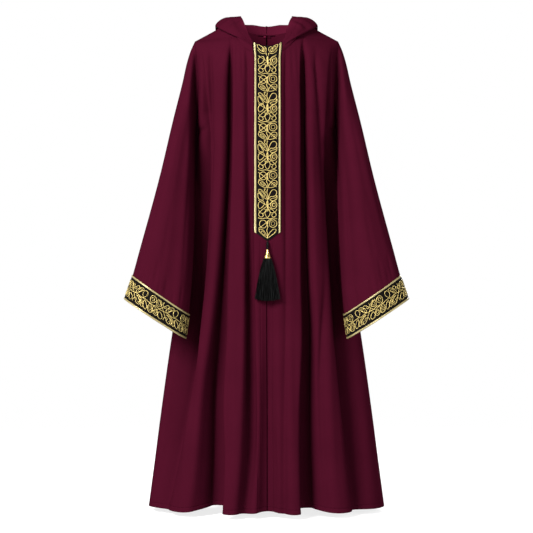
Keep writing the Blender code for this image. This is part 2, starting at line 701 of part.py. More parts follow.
def hood_grid(side, seam):
    """Outer points and normals of half the hood.

    Columns go round the neck from the placket to the centre back. Rows go from the neck seam up
    to the stand, under, round the low fold, and over to the face edge.
    """
    table = np.array(list(HOOD_ROWS.values()), float) * MM
    stations = np.array(list(HOOD_ROWS))
    steps = np.linalg.norm(np.diff(seam, axis=0), axis=1)
    share = np.concatenate([[0], np.cumsum(steps)]) / steps.sum()
    row = curve(stations, table, share)
    shift = PLACKET_X * side * ease(1 - share * 3)
    half = np.where(share < SHOULDER_STATION, -1, 1)
    first = seam + np.array([0, 0, HOOD_LIFT])
    first[-1, 0] = side * SEAM_GAP / 2
    stand = first + row[:, 0:3] * np.array([side, 1, 1])
    under = on_body(side * (row[:, 3] + shift), row[:, 4], row[:, 5], half)
    low = on_body(side * (row[:, 6] + shift), row[:, 7], row[:, 8], half)
    over = row[:, 9:12]
    edge = row[:, 12:15]
    over = np.stack([side * (over[:, 0] + shift), over[:, 1], over[:, 2]], 1)
    edge = np.stack([side * (edge[:, 0] + shift), edge[:, 1], edge[:, 2]], 1)
    weight = ease((share - FOLD_FROM) / (FOLD_WHOLE - FOLD_FROM))[:, None]
    rise = low - first
    bulge = np.array([0, -ROLL_BULGE, 0]) * (1 - weight)
    rolled = [first + rise * up + bulge * out for up, out in zip(ROLL_RISE, ROLL_BULGES)]
    stand += (rolled[0] - stand) * (1 - weight)
    under += (rolled[1] - under) * (1 - weight)
    out = unit(low - (under + over) / 2)
    forward = np.array([0, -FOLD_FORWARD, 0]) * (1 - ease(share / SHOULDER_STATION))[:, None]
    across = over - under + forward
    across = unit(across - out * np.sum(across * out, axis=1, keepdims=True))
    below = rolled[2]
    below += (low - (out + across) * FOLD_ROUND - below) * weight
    above = low + (over - low) * ROLL_OVER[0]
    above += bulge * ROLL_OVER[1] * ease(share / FOLD_FROM)[:, None]
    above += (low - (out - across) * FOLD_ROUND - above) * weight
    profile = np.stack([first, stand, under, below, low, above, over, edge], axis=1)
    profile[-1, :, 0] = side * SEAM_GAP / 2
    down = np.array(HOOD_DOWN)
    points = np.stack([curve(HOOD_SHARES, column, down) for column in profile], axis=1)
    clear = curve(HOOD_SHARES, HOOD_CLEAR, down)[:, None] * weight[:, 0]
    points = rest_on_body(points, clear)
    points[:, -1, 0] = side * SEAM_GAP / 2
    normals = grid_normals(points, False)
    rising = normals[1, len(seam) // 2]
    normals *= side * np.sign(rising[0])
    normals[1:-1] = unit(normals[:-2] + 2 * normals[1:-1] + normals[2:])
    normals[:, -1, 0] = 0
    normals[:, 0, 0] = 0
    normals[0, :, 2] = 0
    return points, unit(normals)


def placket_pieces(fronts):
    """The black band down the front, and the two braids on it, from the fronts' own points."""
    width = len(PLACKET_SHARES)
    last = ARMHOLE_ROWS + WAIST_ROWS
    left, left_normals = fronts[-1]
    right, right_normals = fronts[1]
    points = np.concatenate([left[: last + 1, width:0:-1], right[: last + 1, : width + 1]], axis=1)
    normals = np.concatenate(
        [left_normals[: last + 1, width:0:-1], right_normals[: last + 1, : width + 1]], axis=1
    )
    across = np.clip((points[0, :, 0] - PLACKET_X) / (PLACKET_HALF * PLACKET_FLARE), -1, 1)
    top_drop = -PLACKET_TOP_Z + PLACKET_TOP_DIP * (1 - across**2)
    flare = placket_half_width(top_drop) / placket_half_width(-points[0, :, 2])
    top = body_point(PLACKET_X + (points[0, :, 0] - PLACKET_X) * flare, top_drop, -1)[0]
    points = np.concatenate([top[None], points])
    normals = np.concatenate([normals[:1], normals])
    outer = points + normals * (LAY_GAP + BAND_CLOTH)
    wall("placket", outer, normals, BAND_CLOTH, "black band", guide=points)
    raised = points + normals * (2 * LAY_GAP + BAND_CLOTH + BRAID)
    inner, outer = BRAID_COLUMNS
    for label, first in (("left", width - outer), ("right", width + inner)):
        strip = slice(first, first + 2)
        wall(
            f"placket_braid_{label}",
            raised[:, strip],
            normals[:, strip],
            BRAID,
            "gold braid",
            guide=points[:, strip],
        )


def cuff_pieces(label, points, normals):
    """The black band round the sleeve's end and its two braids, from the sleeve's own points."""
    band = slice(-4, None)
    outer = points[band] + normals[band] * (CUFF_GAP + BAND_CLOTH)
    finish = "black band"
    wall(f"cuff_{label}", outer, normals[band], BAND_CLOTH, finish, True, points[band])
    raised = points + normals * (CUFF_GAP + BAND_CLOTH + LAY_GAP + BRAID)
    for name, rows in (("upper", slice(-4, -2)), ("lower", slice(-2, None))):
        wall(
            f"cuff_braid_{name}_{label}",
            raised[rows],
            normals[rows],
            BRAID,
            "gold braid",
            around=True,
            guide=points[rows],
        )


def turned(name, profile, place, finish, segments=16, axis=(0.0, 0.0)):
    """A closed turned piece: rows of radius and height, spun about an axis leaning by axis."""
    angles = np.arange(segments) * 2 * math.pi / segments
    rings = []
    for radius, height in profile:
        middle = np.array(place) + np.array([axis[0] * height, axis[1] * height, height])
        ring = np.stack([np.cos(angles), np.sin(angles), np.zeros(segments)], 1) * radius
        rings.append(ring + middle)
    faces = []
    for row in range(len(profile) - 1):
        for j in range(segments):
            k = (j + 1) % segments
            low = row * segments
            faces.append([low + j, low + k, low + segments + k, low + segments + j])
    last = (len(profile) - 1) * segments
    faces.append(list(range(segments))[::-1])
    faces.append([last + j for j in range(segments)])
    return make_object(name, np.concatenate(rings), faces, finish)


def front_surface(x, drop):
    """The point on the front at this place, folds included."""
    return body_point(np.array([x]), np.array([drop]), -1)[0][0]


def tassel_pieces():
    """Cord, metal cap, and the head with its strands, hung along the front."""
    top = PLACKET_POINT_DROP + 2 * MM
    bottom = top + CORD_LENGTH + CAP_LENGTH + STRAND_LENGTH
    start = front_surface(PLACKET_X, top)[1]
    end = front_surface(PLACKET_X, bottom)[1]
    slope = -(end - start) / (bottom - top)
    cord_y = start - CORD_RADIUS - CORD_GAP
    lean = slope + (TASSEL_STAND_OFF - CORD_RADIUS) / CORD_LENGTH
    cord = [(CORD_RADIUS, 0), (CORD_RADIUS, -CORD_LENGTH)]
    turned("tassel_cord", cord, (PLACKET_X, cord_y, -top), "black silk", 10, (0, lean))
    cap_y = cord_y - lean * CORD_LENGTH
    cap_top = -top - CORD_LENGTH - SEAM_GAP
    cavity = -CAP_LENGTH + HEAD_LENGTH + 1.5 * MM
    profile = [
        (CAP_TOP_RADIUS * 0.8, 0),
        (CAP_TOP_RADIUS, -1.5 * MM),
        (CAP_TOP_RADIUS * 1.5, -9 * MM),
        (CAP_BOTTOM_RADIUS * 0.88, -19 * MM),
        (CAP_BOTTOM_RADIUS, -CAP_LENGTH),
        (CAP_BOTTOM_RADIUS - CAP_WALL, -CAP_LENGTH),
        (CAP_BOTTOM_RADIUS * 0.88 - CAP_WALL, cavity),
    ]
    turned("tassel_cap", profile, (PLACKET_X, cap_y, cap_top), "gold metal", 20, (0, slope))
    head_y = cap_y - slope * CAP_LENGTH
    head_z = cap_top - CAP_LENGTH + HEAD_LENGTH - 0.5 * MM
    tassel_strands((PLACKET_X, head_y, head_z), slope)


def tassel_strands(place, slope):
    """The head, a short round plug, with the strands let down from the cells of its lower face.

    The lower face is a square grid pressed into a disc. Each cell is inset and drawn down in two
    steps to its strand's tip, which fans out sideways.
    """
    across = STRANDS_ACROSS + 1
    deep = STRANDS_DEEP + 1
    u, v = np.meshgrid(np.linspace(-1, 1, across), np.linspace(-1, 1, deep), indexing="ij")
    x = u * np.sqrt(1 - v**2 / 2) * HEAD_RADIUS
    y = v * np.sqrt(1 - u**2 / 2) * HEAD_RADIUS
    middle = np.array(place)
    bottom_z = -HEAD_LENGTH
    low = np.stack([x, y, np.full_like(x, bottom_z)], -1).reshape(-1, 3)
    number = np.arange(across * deep).reshape(across, deep)
    edge = np.concatenate([number[:-1, 0], number[-1, :-1], number[:0:-1, -1], number[0, :0:-1]])
    top = low[edge] * np.array([0.8, 0.8, 0]) + np.array([0, slope * HEAD_LENGTH, 0])
    points = [low, top]
    count = len(low)
    faces = []
    loop = np.arange(len(edge)) + count
    size = len(edge)
    for i in range(size):
        j = (i + 1) % size
        faces.append([int(edge[i]), int(edge[j]), int(loop[j]), int(loop[i])])
    faces.append([int(k) for k in loop])
    count += size
    for i in range(STRANDS_ACROSS):
        for j in range(STRANDS_DEEP):
            cell = [number[i, j], number[i + 1, j], number[i + 1, j + 1], number[i, j + 1]]
            corners = low[cell]
            centre = corners.mean(axis=0)
            inset = centre + (corners - centre) * STRAND_ROOT
            spread_x = (i + 0.5) / STRANDS_ACROSS * 2 - 1
            spread_y = (j + 0.5) / STRANDS_DEEP * 2 - 1
            length = STRAND_LENGTH - STRAND_ROUND * spread_x**2
            length += STRAND_WAVE * math.sin(7 * i + 3 * j)
            tip = np.array([spread_x * FRINGE_HALF_WIDTH, spread_y * FRINGE_HALF_DEPTH, 0])
            tip = tip * math.sqrt(1 - 0.25 * spread_x**2 * spread_y**2)
            tip += np.array([0, -slope * length, bottom_z - length])
            box = np.array([[-1, -1, 0], [1, -1, 0], [1, 1, 0], [-1, 1, 0]])
            size_now = np.array([STRAND_TIP[0], STRAND_TIP[1], 0])
            half_way = centre + (tip - centre) * np.array(STRAND_BELLY)
            rings = [inset, half_way + box * size_now * 0.8, tip + box * size_now]
            points.extend(rings)
            previous = [int(k) for k in cell]
            for ring in range(3):
                current = [count + 4 * ring + k for k in range(4)]
                for k in range(4):
                    m = (k + 1) % 4
                    faces.append([previous[k], previous[m], current[m], current[k]])
                previous = current
            faces.append(previous[::-1])
            count += 12
    make_object("tassel", np.concatenate(points) + middle, faces, "black silk", 50)


def button_and_loop(backs):
    """The small button left of the slit and the thread loop right of it, inside the back neck.

    Both lie in the slope of the cloth's inner face.
    """
    points, normals = backs[-1]
    drops = -points[:, 0, 2]
    place = np.array([0, np.interp(-BUTTON_Z, drops, points[:, 0, 1]), BUTTON_Z])
    normal = unit(np.array([0, *(np.interp(-BUTTON_Z, drops, normals[:, 0, k]) for k in (1, 2))]))
    down = np.array([0, normal[2], -normal[1]])
    inside = place - normal * (CLOTH + BUTTON_STAND_OFF)
    segments = BUTTON_SEGMENTS
    angles = np.arange(segments) * 2 * math.pi / segments
    across = np.array([1, 0, 0])
    rings = []
    for radius, depth in BUTTON_PROFILE:
        ring = np.cos(angles)[:, None] * across + np.sin(angles)[:, None] * down
        middle = inside + across * BUTTON_X - normal * depth * BUTTON_DEPTH
        rings.append(middle + ring * radius * BUTTON_RADIUS)
    faces = []
    for row in range(len(BUTTON_PROFILE) - 1):
        low = row * segments
        for j in range(segments):
            k = (j + 1) % segments
            faces.append([low + j, low + k, low + segments + k, low + segments + j])
    faces.append(list(range(segments)))
    faces.append([low + segments + j for j in range(segments)][::-1])
    make_object("neck_button", np.concatenate(rings), faces, "wine crepe")
    thread = np.arange(5) * 2 * math.pi / 5
    outward = np.cos(angles)[:, None] * across + np.sin(angles)[:, None] * down
    middle = inside + across * LOOP_X - normal * LOOP_THREAD
    middle = middle + np.cos(angles)[:, None] * across * LOOP_HALF_LENGTH
    middle = middle + np.sin(angles)[:, None] * down * LOOP_HALF_HEIGHT
    points = middle[:, None] + outward[:, None] * (np.cos(thread) * LOOP_THREAD)[None, :, None]
    points = points + normal * (np.sin(thread) * LOOP_THREAD)[None, :, None]
    number = np.arange(segments * 5).reshape(segments, 5)
    after = np.roll(number, -1, 0)
    faces = np.stack([number, after, np.roll(after, -1, 1), np.roll(number, -1, 1)], -1)
    make_object("neck_loop", points.reshape(-1, 3), faces.reshape(-1, 4).tolist(), "wine crepe")


def main():
    """Builds every piece."""
    clear_scene()
    fronts = {side: panel_grid(side, -1) for side in (-1, 1)}
    backs = {side: panel_grid(side, 1) for side in (-1, 1)}
    for side, label in ((-1, "left"), (1, "right")):
        wall(f"front_{label}", *fronts[side], CLOTH, "wine crepe")
        wall(f"back_{label}", *backs[side], CLOTH, "wine crepe")
        points, normals = sleeve_grid(side)
        wall(f"sleeve_{label}", points, normals, CLOTH, "wine crepe", around=True)
        cuff_pieces(label, points, normals)
        seam = neck_edge(side, fronts[side][0], backs[side][0])
        wall(f"hood_{label}", *hood_grid(side, seam), HOOD_CLOTH, "wine crepe")
    placket_pieces(fronts)
    tassel_pieces()
    button_and_loop(backs)


main()
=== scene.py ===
"""Looks of a hooded abaya with wide sleeves, embroidered bands and a tassel.

Metres, +Z up, the front facing -Y. Every cloth piece is a thin wall on the form of its solid, worked
out from the same sections and folds, with finer creases, seams and stitches laid on it.
"""

import functools
import math

import bpy
import numpy as np
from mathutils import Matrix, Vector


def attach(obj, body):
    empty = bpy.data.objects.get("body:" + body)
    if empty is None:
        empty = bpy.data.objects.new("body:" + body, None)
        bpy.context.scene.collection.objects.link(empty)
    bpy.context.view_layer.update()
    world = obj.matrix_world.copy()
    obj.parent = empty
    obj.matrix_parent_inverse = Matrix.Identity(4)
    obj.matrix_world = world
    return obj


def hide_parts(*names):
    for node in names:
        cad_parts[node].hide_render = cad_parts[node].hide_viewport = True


bl_info = {
    "name": "Hooded abaya",
    "version": (1, 0, 0),
    "blender": (4, 5, 0),
    "location": "View3D > Sidebar > Abaya",
    "description": "Cloth, embroidered bands, tassel and studio of a hooded abaya",
    "category": "Object",
}

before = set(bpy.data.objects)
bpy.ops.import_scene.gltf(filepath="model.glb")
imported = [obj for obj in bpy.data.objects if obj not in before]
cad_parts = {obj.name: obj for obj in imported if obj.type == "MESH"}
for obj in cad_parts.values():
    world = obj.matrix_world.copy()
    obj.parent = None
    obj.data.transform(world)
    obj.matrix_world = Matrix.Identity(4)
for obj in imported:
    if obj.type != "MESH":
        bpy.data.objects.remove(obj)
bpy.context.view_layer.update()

MM = 0.001


def mm(*lengths):
    """Lengths in metres, from millimetres."""
    return np.array(lengths) * MM


# The picture's left and right: the sign of x and the word in the nodes' names
SIDES = ((-1, "left"), (1, "right"))

# Gaps and walls of the solids that the cloth follows
CLOTH = 1.5 * MM
HOOD_CLOTH = 1.2 * MM
BAND_CLOTH = 1.2 * MM
SEAM_GAP = 0.3 * MM
LAY_GAP = 0.3 * MM
CUFF_GAP = 0.5 * MM
SLEEVE_GAP = 0.48 * MM
# What is left open where two cloths are sewn together
SEWN_GAP = 0.0 * MM
# How far the middle seams run off the exact middle, and the cloth beside them that moves along
SEAM_X = 0.4 * MM
SEAM_SPREAD = 9 * MM

# Body
HEM_DROP = 1453 * MM
SHOULDER_X = mm(0, 60, 108, 147, 212, 300)
SHOULDER_Z = mm(2, 0, -14, -36, -71, -120)
TIP_X = 212 * MM
ROUNDING = 170 * MM
TIP_DROP = 71 * MM
UNDERARM = 335 * MM
ARMHOLE_DEPTH = 66 * MM
HEM_LIFT = 0.2

# Half width at the side edge, and where the side edge, the middle front and the middle back lie
WIDTH_DROP = mm(0, 71, 130, 200, 270, 335, 400, 450, 500, 600, 800, 941, 1455)
HALF_WIDTH = mm(212, 212, 206, 202, 203, 208, 211, 214, 219, 233, 261, 283, 352)
SECTION_DROP = mm(0, 100, 200, 335, 500, 700, 950, 1200, 1455)
SIDE_Y = mm(10, 12, 20, 32, 42, 52, 54, 42, 30)
FRONT_Y = mm(-98, -106, -116, -121, -125, -133, -152, -176, -200)
BACK_Y = mm(114, 122, 136, 140, 138, 146, 166, 186, 204)

# Neck: the height of the cloth's edge at each distance from the middle
FRONT_NECK_X = mm(0, 40, 62, 84, 101, 108)
FRONT_NECK_Z = mm(-104, -117, -104, -78, -40, -14)
BACK_NECK_X = mm(0, 30, 55, 80, 98, 108)
BACK_NECK_Z = mm(-43, -42, -38, -31, -22, -14)
NECK_X = 108 * MM

# Folds: for each valley its place, half width and depth in mm at each drop, and its lean
FOLD_DROP = mm(60, 140, 430, 780, 925, 1100, 1300, 1450)
FRONT_FOLDS = {
    "left arm": (
        (-196, -192, -194, -218, -234, -262, -292, -312), (6, 7, 13, 20, 24, 27, 29, 31),
        (0, 4, 24, 40, 50, 46, 28, 14), 0.0,
    ),
    "left chest": (
        (-166, -168, -170, -184, -192, -216, -242, -254), (9, 11, 13, 14, 15, 17, 18, 20),
        (0, 5, 9, 4, 0, 0, 0, 0), 0.0,
    ),
    "left main": (
        (-104, -108, -117, -134, -143, -160, -168, -178), (6, 8, 11, 14, 17, 22, 27, 31),
        (2, 10, 18, 28, 40, 54, 66, 80), 0.35,
    ),
    "left of placket": (
        (-56, -56, -54, -50, -50, -51, -56, -68), (9, 10, 11, 12, 13, 14, 16, 19),
        (0, 3, 7, 14, 16, 18, 18, 16), 0.0,
    ),
    "right of placket": (
        (56, 56, 57, 57, 57, 56, 56, 56), (8, 8, 9, 9, 10, 11, 12, 13),
        (0, 3, 5, 3, 3, 4, 6, 7), 0.0,
    ),
    "right main": (
        (108, 111, 117, 122, 127, 127, 131, 138), (7, 9, 11, 13, 15, 18, 20, 23),
        (2, 12, 20, 28, 38, 48, 56, 64), -0.35,
    ),
    "right chest": (
        (142, 147, 167, 172, 166, 163, 170, 178), (9, 10, 13, 15, 16, 17, 18, 19),
        (0, 7, 8, 5, 12, 20, 20, 18), 0.0,
    ),
    "right arm": (
        (196, 192, 195, 219, 236, 254, 270, 282), (6, 7, 13, 20, 24, 27, 29, 31),
        (0, 4, 24, 40, 50, 48, 36, 24), 0.0,
    ),
    "middle": (
        (4, 4, 4, 4, 4, 4, 4, 4), (28, 28, 30, 34, 36, 38, 42, 44),
        (0, 0, 0, 3, 8, 16, 28, 36), 0.0,
    ),
}
BACK_FOLDS = {
    "back left side": (
        (-172, -172, -178, -204, -222, -240, -260, -274), (9, 11, 15, 18, 20, 24, 27, 30),
        (0, 5, 16, 26, 32, 38, 40, 40), 0.2,
    ),
    "back left": (
        (-108, -108, -110, -118, -126, -136, -150, -160), (10, 12, 15, 17, 19, 23, 27, 30),
        (0, 3, 10, 22, 30, 42, 52, 58), -0.3,
    ),
    "back left of seam": (
        (-40, -38, -34, -32, -32, -34, -38, -42), (10, 12, 15, 17, 18, 20, 22, 24),
        (0, 0, 5, 12, 18, 26, 34, 38), 0.25,
    ),
    "back right of seam": (
        (44, 44, 46, 50, 52, 52, 50, 48), (10, 11, 12, 13, 14, 16, 18, 20),
        (0, 3, 8, 12, 12, 14, 18, 22), 0.0,
    ),
    "back right": (
        (108, 109, 112, 120, 126, 130, 134, 138), (10, 12, 15, 17, 19, 23, 26, 29),
        (0, 4, 12, 24, 32, 44, 54, 60), 0.3,
    ),
    "back right side": (
        (172, 172, 180, 204, 220, 234, 250, 262), (9, 11, 15, 18, 20, 24, 27, 30),
        (0, 5, 16, 26, 32, 38, 42, 42), -0.2,
    ),
}
FRONT_ORDER = {
    -1: ("left of placket", "left main", "left chest", "left arm"),
    1: ("right of placket", "right main", "right chest", "right arm"),
}
BACK_ORDER = {
    -1: ("back left of seam", "back left", "back left side"),
    1: ("back right of seam", "back right", "back right side"),
}
FRONT_TOP_X = mm(56, 108, 166, 196)
BACK_TOP_X = mm(44, 108, 172)
# How far a fold's sides are drawn together, and the drops over which folds set in
PINCH = 0.45
FULL_PINCH_DEPTH = 24 * MM
FOLD_START = 30 * MM
FOLD_FULL = 150 * MM
SIDE_FADE = 1 / 24

# Small creases, in mm: from x, drop, to x, drop, half width, depth (a ridge below 0), and how full
# they are along their length
CREASE_POWER = 0.8
FRONT_CREASES = (
    # left half: drags at the shoulder and the underarm, then soft lines down the skirt
    (-122, 120, -176, 232, 10, 1.6),
    (-140, 96, -190, 170, 9, 1.2),
    (-198, 330, -150, 412, 11, 2.6),
    (-202, 352, -168, 470, 9, 2),
    (-82, 190, -84, 520, 9, 1.6),
    (-88, 430, -92, 860, 10, 1.8),
    (-146, 300, -152, 640, 9, 1.5),
    (-76, 760, -84, 1180, 10, 2.6),
    (-104, 980, -112, 1452, 12, 4),
    (-206, 860, -232, 1452, 13, 4.5),
    (-192, 640, -198, 960, 10, 2.2),
    (-128, 1180, -134, 1452, 9, 2.6),
    (-28, 1150, -32, 1452, 9, 4.2),
    (-248, 1160, -268, 1452, 12, 3.6),
    (-70, 330, -72, 620, 7, -0.9),
    (-34, 820, -36, 1180, 8, -1.6),
    (-86, 70, -88, 230, 6, 2.2),
    (-74, 84, -70, 210, 5, 2),
    (-62, 100, -54, 190, 5, 1.8),
    # right half
    (62, 100, 58, 190, 5, 1.7),
    (72, 90, 80, 215, 6, 2.2),
    (88, 76, 96, 240, 6, 2),
    (124, 118, 180, 236, 10, 1.7),
    (138, 92, 186, 158, 9, 1.1),
    (200, 332, 156, 420, 11, 2.8),
    (203, 356, 172, 500, 9, 1.9),
    (84, 200, 86, 560, 10, 1.7),
    (86, 520, 90, 900, 9, 1.5),
    (144, 280, 150, 600, 9, 1.4),
    (12, 800, 11, 1260, 8, 3.4),
    (82, 900, 88, 1320, 10, 2.8),
    (98, 1080, 104, 1452, 11, 3.6),
    (196, 760, 214, 1452, 12, 4.2),
    (150, 720, 152, 980, 8, 1.8),
    (30, 1240, 28, 1452, 9, 3.4),
    (238, 1120, 252, 1452, 12, 3.8),
    (70, 360, 72, 680, 7, -0.9),
    (36, 780, 36, 1160, 8, -1.6),
)
BACK_CREASES = (
    (-118, 190, -172, 300, 11, 2),
    (-70, 270, -78, 640, 11, 2.2),
    (-196, 336, -140, 430, 12, 2.8),
    (-146, 420, -158, 800, 10, 2.4),
    (-64, 700, -70, 1180, 11, 3),
    (-96, 1000, -106, 1452, 12, 4.2),
    (-192, 880, -212, 1452, 12, 4.4),
    (-12, 300, -14, 700, 8, 1.6),
    (-238, 1120, -252, 1452, 12, 3.6),
    (-10, 900, -16, 1452, 9, 3),
    (116, 196, 170, 310, 11, 2),
    (76, 280, 80, 690, 11, 2.2),
    (198, 338, 146, 440, 12, 2.8),
    (148, 440, 160, 820, 10, 2.2),
    (84, 760, 92, 1240, 11, 3.2),
    (16, 420, 22, 900, 9, 2),
    (178, 900, 196, 1452, 12, 4.4),
    (96, 1120, 98, 1452, 10, 3.6),
    (20, 1000, 16, 1452, 10, 3.2),
    (232, 1140, 244, 1452, 12, 3.8),
)

# How much deeper than the solids the folds are at most, and from which depth on
FOLD_EXTRA = 15 * MM
FOLD_EXTRA_FROM = 14 * MM
# The crisp middle of a fold: its width and depth as shares of the fold's own, and its depth at most
CORE_WIDTH = 0.42
CORE_SHARE = 0.45
CORE_DEPTH = 8 * MM
# Folds whose middle is deeper or, below 0, shallower than the solids', as a share of their depth
FOLD_TONES = {"left of placket": 0.5, "left main": 0.25, "right main": 0.3, "right chest": -0.7}
TONE_DEPTH = 10 * MM
CORE_EDGE = 20 * MM
# The most that all this adds, and the share of it that is taken off towards the hem
DEEPER_MOST = 30 * MM
DEEPER_HEM = 0.1
HEM_FADE_DROP = 1200 * MM
HEM_FADE_SPAN = 250 * MM
# The hem's lift in the folds as a share of their depth, and how far along the hem it spreads
HEM_LIFT_SHOWN = 0.2
HEM_SPREAD = 24 * MM
HEM_SAMPLES = 800
HEM_BELL = 40
# Where small creases die out: at the side, below the neck, in deep folds, beside the placket and
# below its point
CREASE_SIDE = 1 / 14
CREASE_TOP = 50 * MM
CREASE_TOP_SPAN = 80 * MM
CREASE_FOLD = 30 * MM
CREASE_PLACKET = 14 * MM
CREASE_POINT = 60 * MM
# How sharply the last columns follow the side edge
EDGE_POWER = 8
# Where the cloth's step at the underarm is filled out, and how far the body's side stands out there
FILL_START = 290 * MM
FILL_END = 480 * MM
FILL_EDGE = 14 * MM
SIDE_FULL = 4 * MM
SIDE_FULL_RISE = 40 * MM
SIDE_FULL_END = 620 * MM
SIDE_FULL_FALL = 150 * MM
SIDE_FULL_FROM = 0.8
# The furrow between body and sleeve: its place and depth down the garment, and half width
ARM_GAP_DROP = mm(80, 125, 200, 270, 335, 430, 600, 760, 890)
ARM_GAP_X = mm(207, 206, 207, 208, 210, 210, 212, 214, 222)
ARM_GAP_DEPTH = mm(0, 17, 29, 31, 29, 21, 14, 10, 0)
ARM_GAP_WIDTH = 11 * MM
ARM_GAP_FROM = 8 * MM
ARM_GAP_SPAN = 34 * MM

# Slow waves all over the cloth, in mm: waves across the width and down a metre, start, height
DRAPE_WAVES = ((31, 1.1, 0.4, 0.7), (47, -2.3, 1.9, 0.45), (19, 3.1, 3.3, 0.5), (73, 1.7, 5.1, 0.25))
WAVES_START = 160 * MM
WAVES_SPAN = 200 * MM

# Sleeves: the outer and inner edge as seen from the front, then the ring's middle and half depth
OUTER_DROP = mm(71, 98, 130, 193, 300, 478, 692, 766, 836)
OUTER_X = mm(212, 224, 234, 248, 274, 314, 370, 390, 414)
INNER_DROP = mm(335, 400, 560, 690, 790, 880, 952)
INNER_X = mm(206, 209, 210, 214, 219, 226, 236)
ALONG = np.array([0, 0.1, 0.25, 0.5, 0.75, 0.91, 1])
OUTER_DROP_ALONG = mm(71, 147, 261, 453, 644, 766, 836)
INNER_DROP_ALONG = mm(335, 396, 485, 634, 784, 880, 952)
MIDDLE_Y = mm(26, 10, -16, -50, -72, -82, -86)
RING_DEPTH = mm(66, 62, 56, 57, 62, 66, 68)
# Shares of its length over which a sleeve leaves the armhole's shape and its folds set in
SLEEVE_JOIN = 0.3
SLEEVE_FOLDS_IN = 0.2
SLEEVE_FOLDS = {
    # turn where the valley starts and ends, half width, depth in mm at top, middle and cuff
    -1: (
        (0.24, 0.30, 0.055, 2, 8, 7),
        (0.40, 0.43, 0.045, 1, 4, 2),
        (-0.30, -0.24, 0.060, 2, 12, 12),
        (-0.42, -0.38, 0.045, 1, 7, 5),
    ),
    1: (
        (0.30, 0.37, 0.050, 4, 14, 8),
        (0.12, 0.14, 0.050, 0, 5, 4),
        (-0.28, -0.22, 0.060, 2, 12, 12),
        (-0.40, -0.37, 0.045, 1, 7, 5),
    ),
}
# Small creases of a sleeve: from turn, along, to turn, along, half width in turns, depth in mm
SLEEVE_CREASES = (
    (0.13, 0.8, 0.135, 0.915, 0.01, 2),
    (0.16, 0.85, 0.163, 0.915, 0.007, 1.5),
    (0.195, 0.78, 0.2, 0.915, 0.01, 2.2),
    (0.225, 0.86, 0.228, 0.915, 0.006, 1.3),
    (0.26, 0.82, 0.262, 0.915, 0.009, 1.9),
    (0.31, 0.86, 0.308, 0.915, 0.007, 1.4),
    (0.36, 0.8, 0.358, 0.915, 0.009, 1.8),
    (0.44, 0.84, 0.44, 0.915, 0.009, 1.6),
    (0.08, 0.4, 0.1, 0.86, 0.022, 1.8),
    (0.18, 0.16, 0.17, 0.62, 0.024, 1.6),
    (0.33, 0.3, 0.36, 0.84, 0.02, 2.2),
    (0.21, 0.55, 0.22, 0.9, 0.016, 1.6),
    (0.47, 0.1, 0.44, 0.42, 0.022, 2.4),
    (0.55, 0.8, 0.552, 0.915, 0.009, 1.9),
    (0.6, 0.86, 0.602, 0.915, 0.007, 1.5),
    (0.65, 0.78, 0.652, 0.915, 0.01, 2.1),
    (0.72, 0.84, 0.718, 0.915, 0.008, 1.7),
    (0.79, 0.8, 0.788, 0.915, 0.01, 2),
    (0.86, 0.86, 0.858, 0.915, 0.007, 1.4),
    (0.56, 0.12, 0.6, 0.6, 0.024, 2.6),
    (0.83, 0.2, 0.8, 0.74, 0.024, 2.2),
    (0.68, 0.42, 0.7, 0.9, 0.018, 2),
)

# How far the creases are shifted round each sleeve, and a slow ripple: height, waves, lean
SLEEVE_SHIFT = 0.012
SLEEVE_RIPPLE = 0.5 * MM
RIPPLE_TURNS = 9
RIPPLE_LEAN = 5
# Where creases and ripples set in below the armhole, and end just under the cuff band's edge
RIPPLE_IN = 0.12
RIPPLE_OUT = 0.02
RIPPLE_PAST = 0.004
# Steps, as shares of a sleeve's length and round, that its slopes are measured over
SLOPE_STEP = 0.004

# Cuff bands: where they start and end along the sleeve, and a braid's share of that
CUFF_START = 0.91
CUFF_END = 1.0
BRAID_ALONG = 0.0065

# Placket: half width, its shift from the middle line, its top edge, corners and point
PLACKET_HALF = 39.5 * MM
PLACKET_X = 3 * MM
PLACKET_TOP_Z = -86 * MM
PLACKET_TOP_DIP = 13 * MM
PLACKET_CORNER = 640 * MM
PLACKET_POINT = 668 * MM
PLACKET_FLARE = 1.08
FLARE_DROP = (140 * MM, 90 * MM)
PLACKET_SHARES = np.array([0.4, 0.75, 0.82, 0.96, 1])
# Braids: the shares of the placket's half width that they cover, their height off the band, where
# they start, what their wall has more than their arch, and the height of their sides
BRAID_SHOWN = (0.82, 0.95)
BRAID_LIFT = 0.1 * MM
BRAID_START = 0.002
BRAID_SINK = 0.05 * MM
BRAID_SIDE = 0.45
CUFF_BRAID_WALL = 0.6
# Step that the placket's slopes are measured over
PLACE_STEP = 0.5 * MM

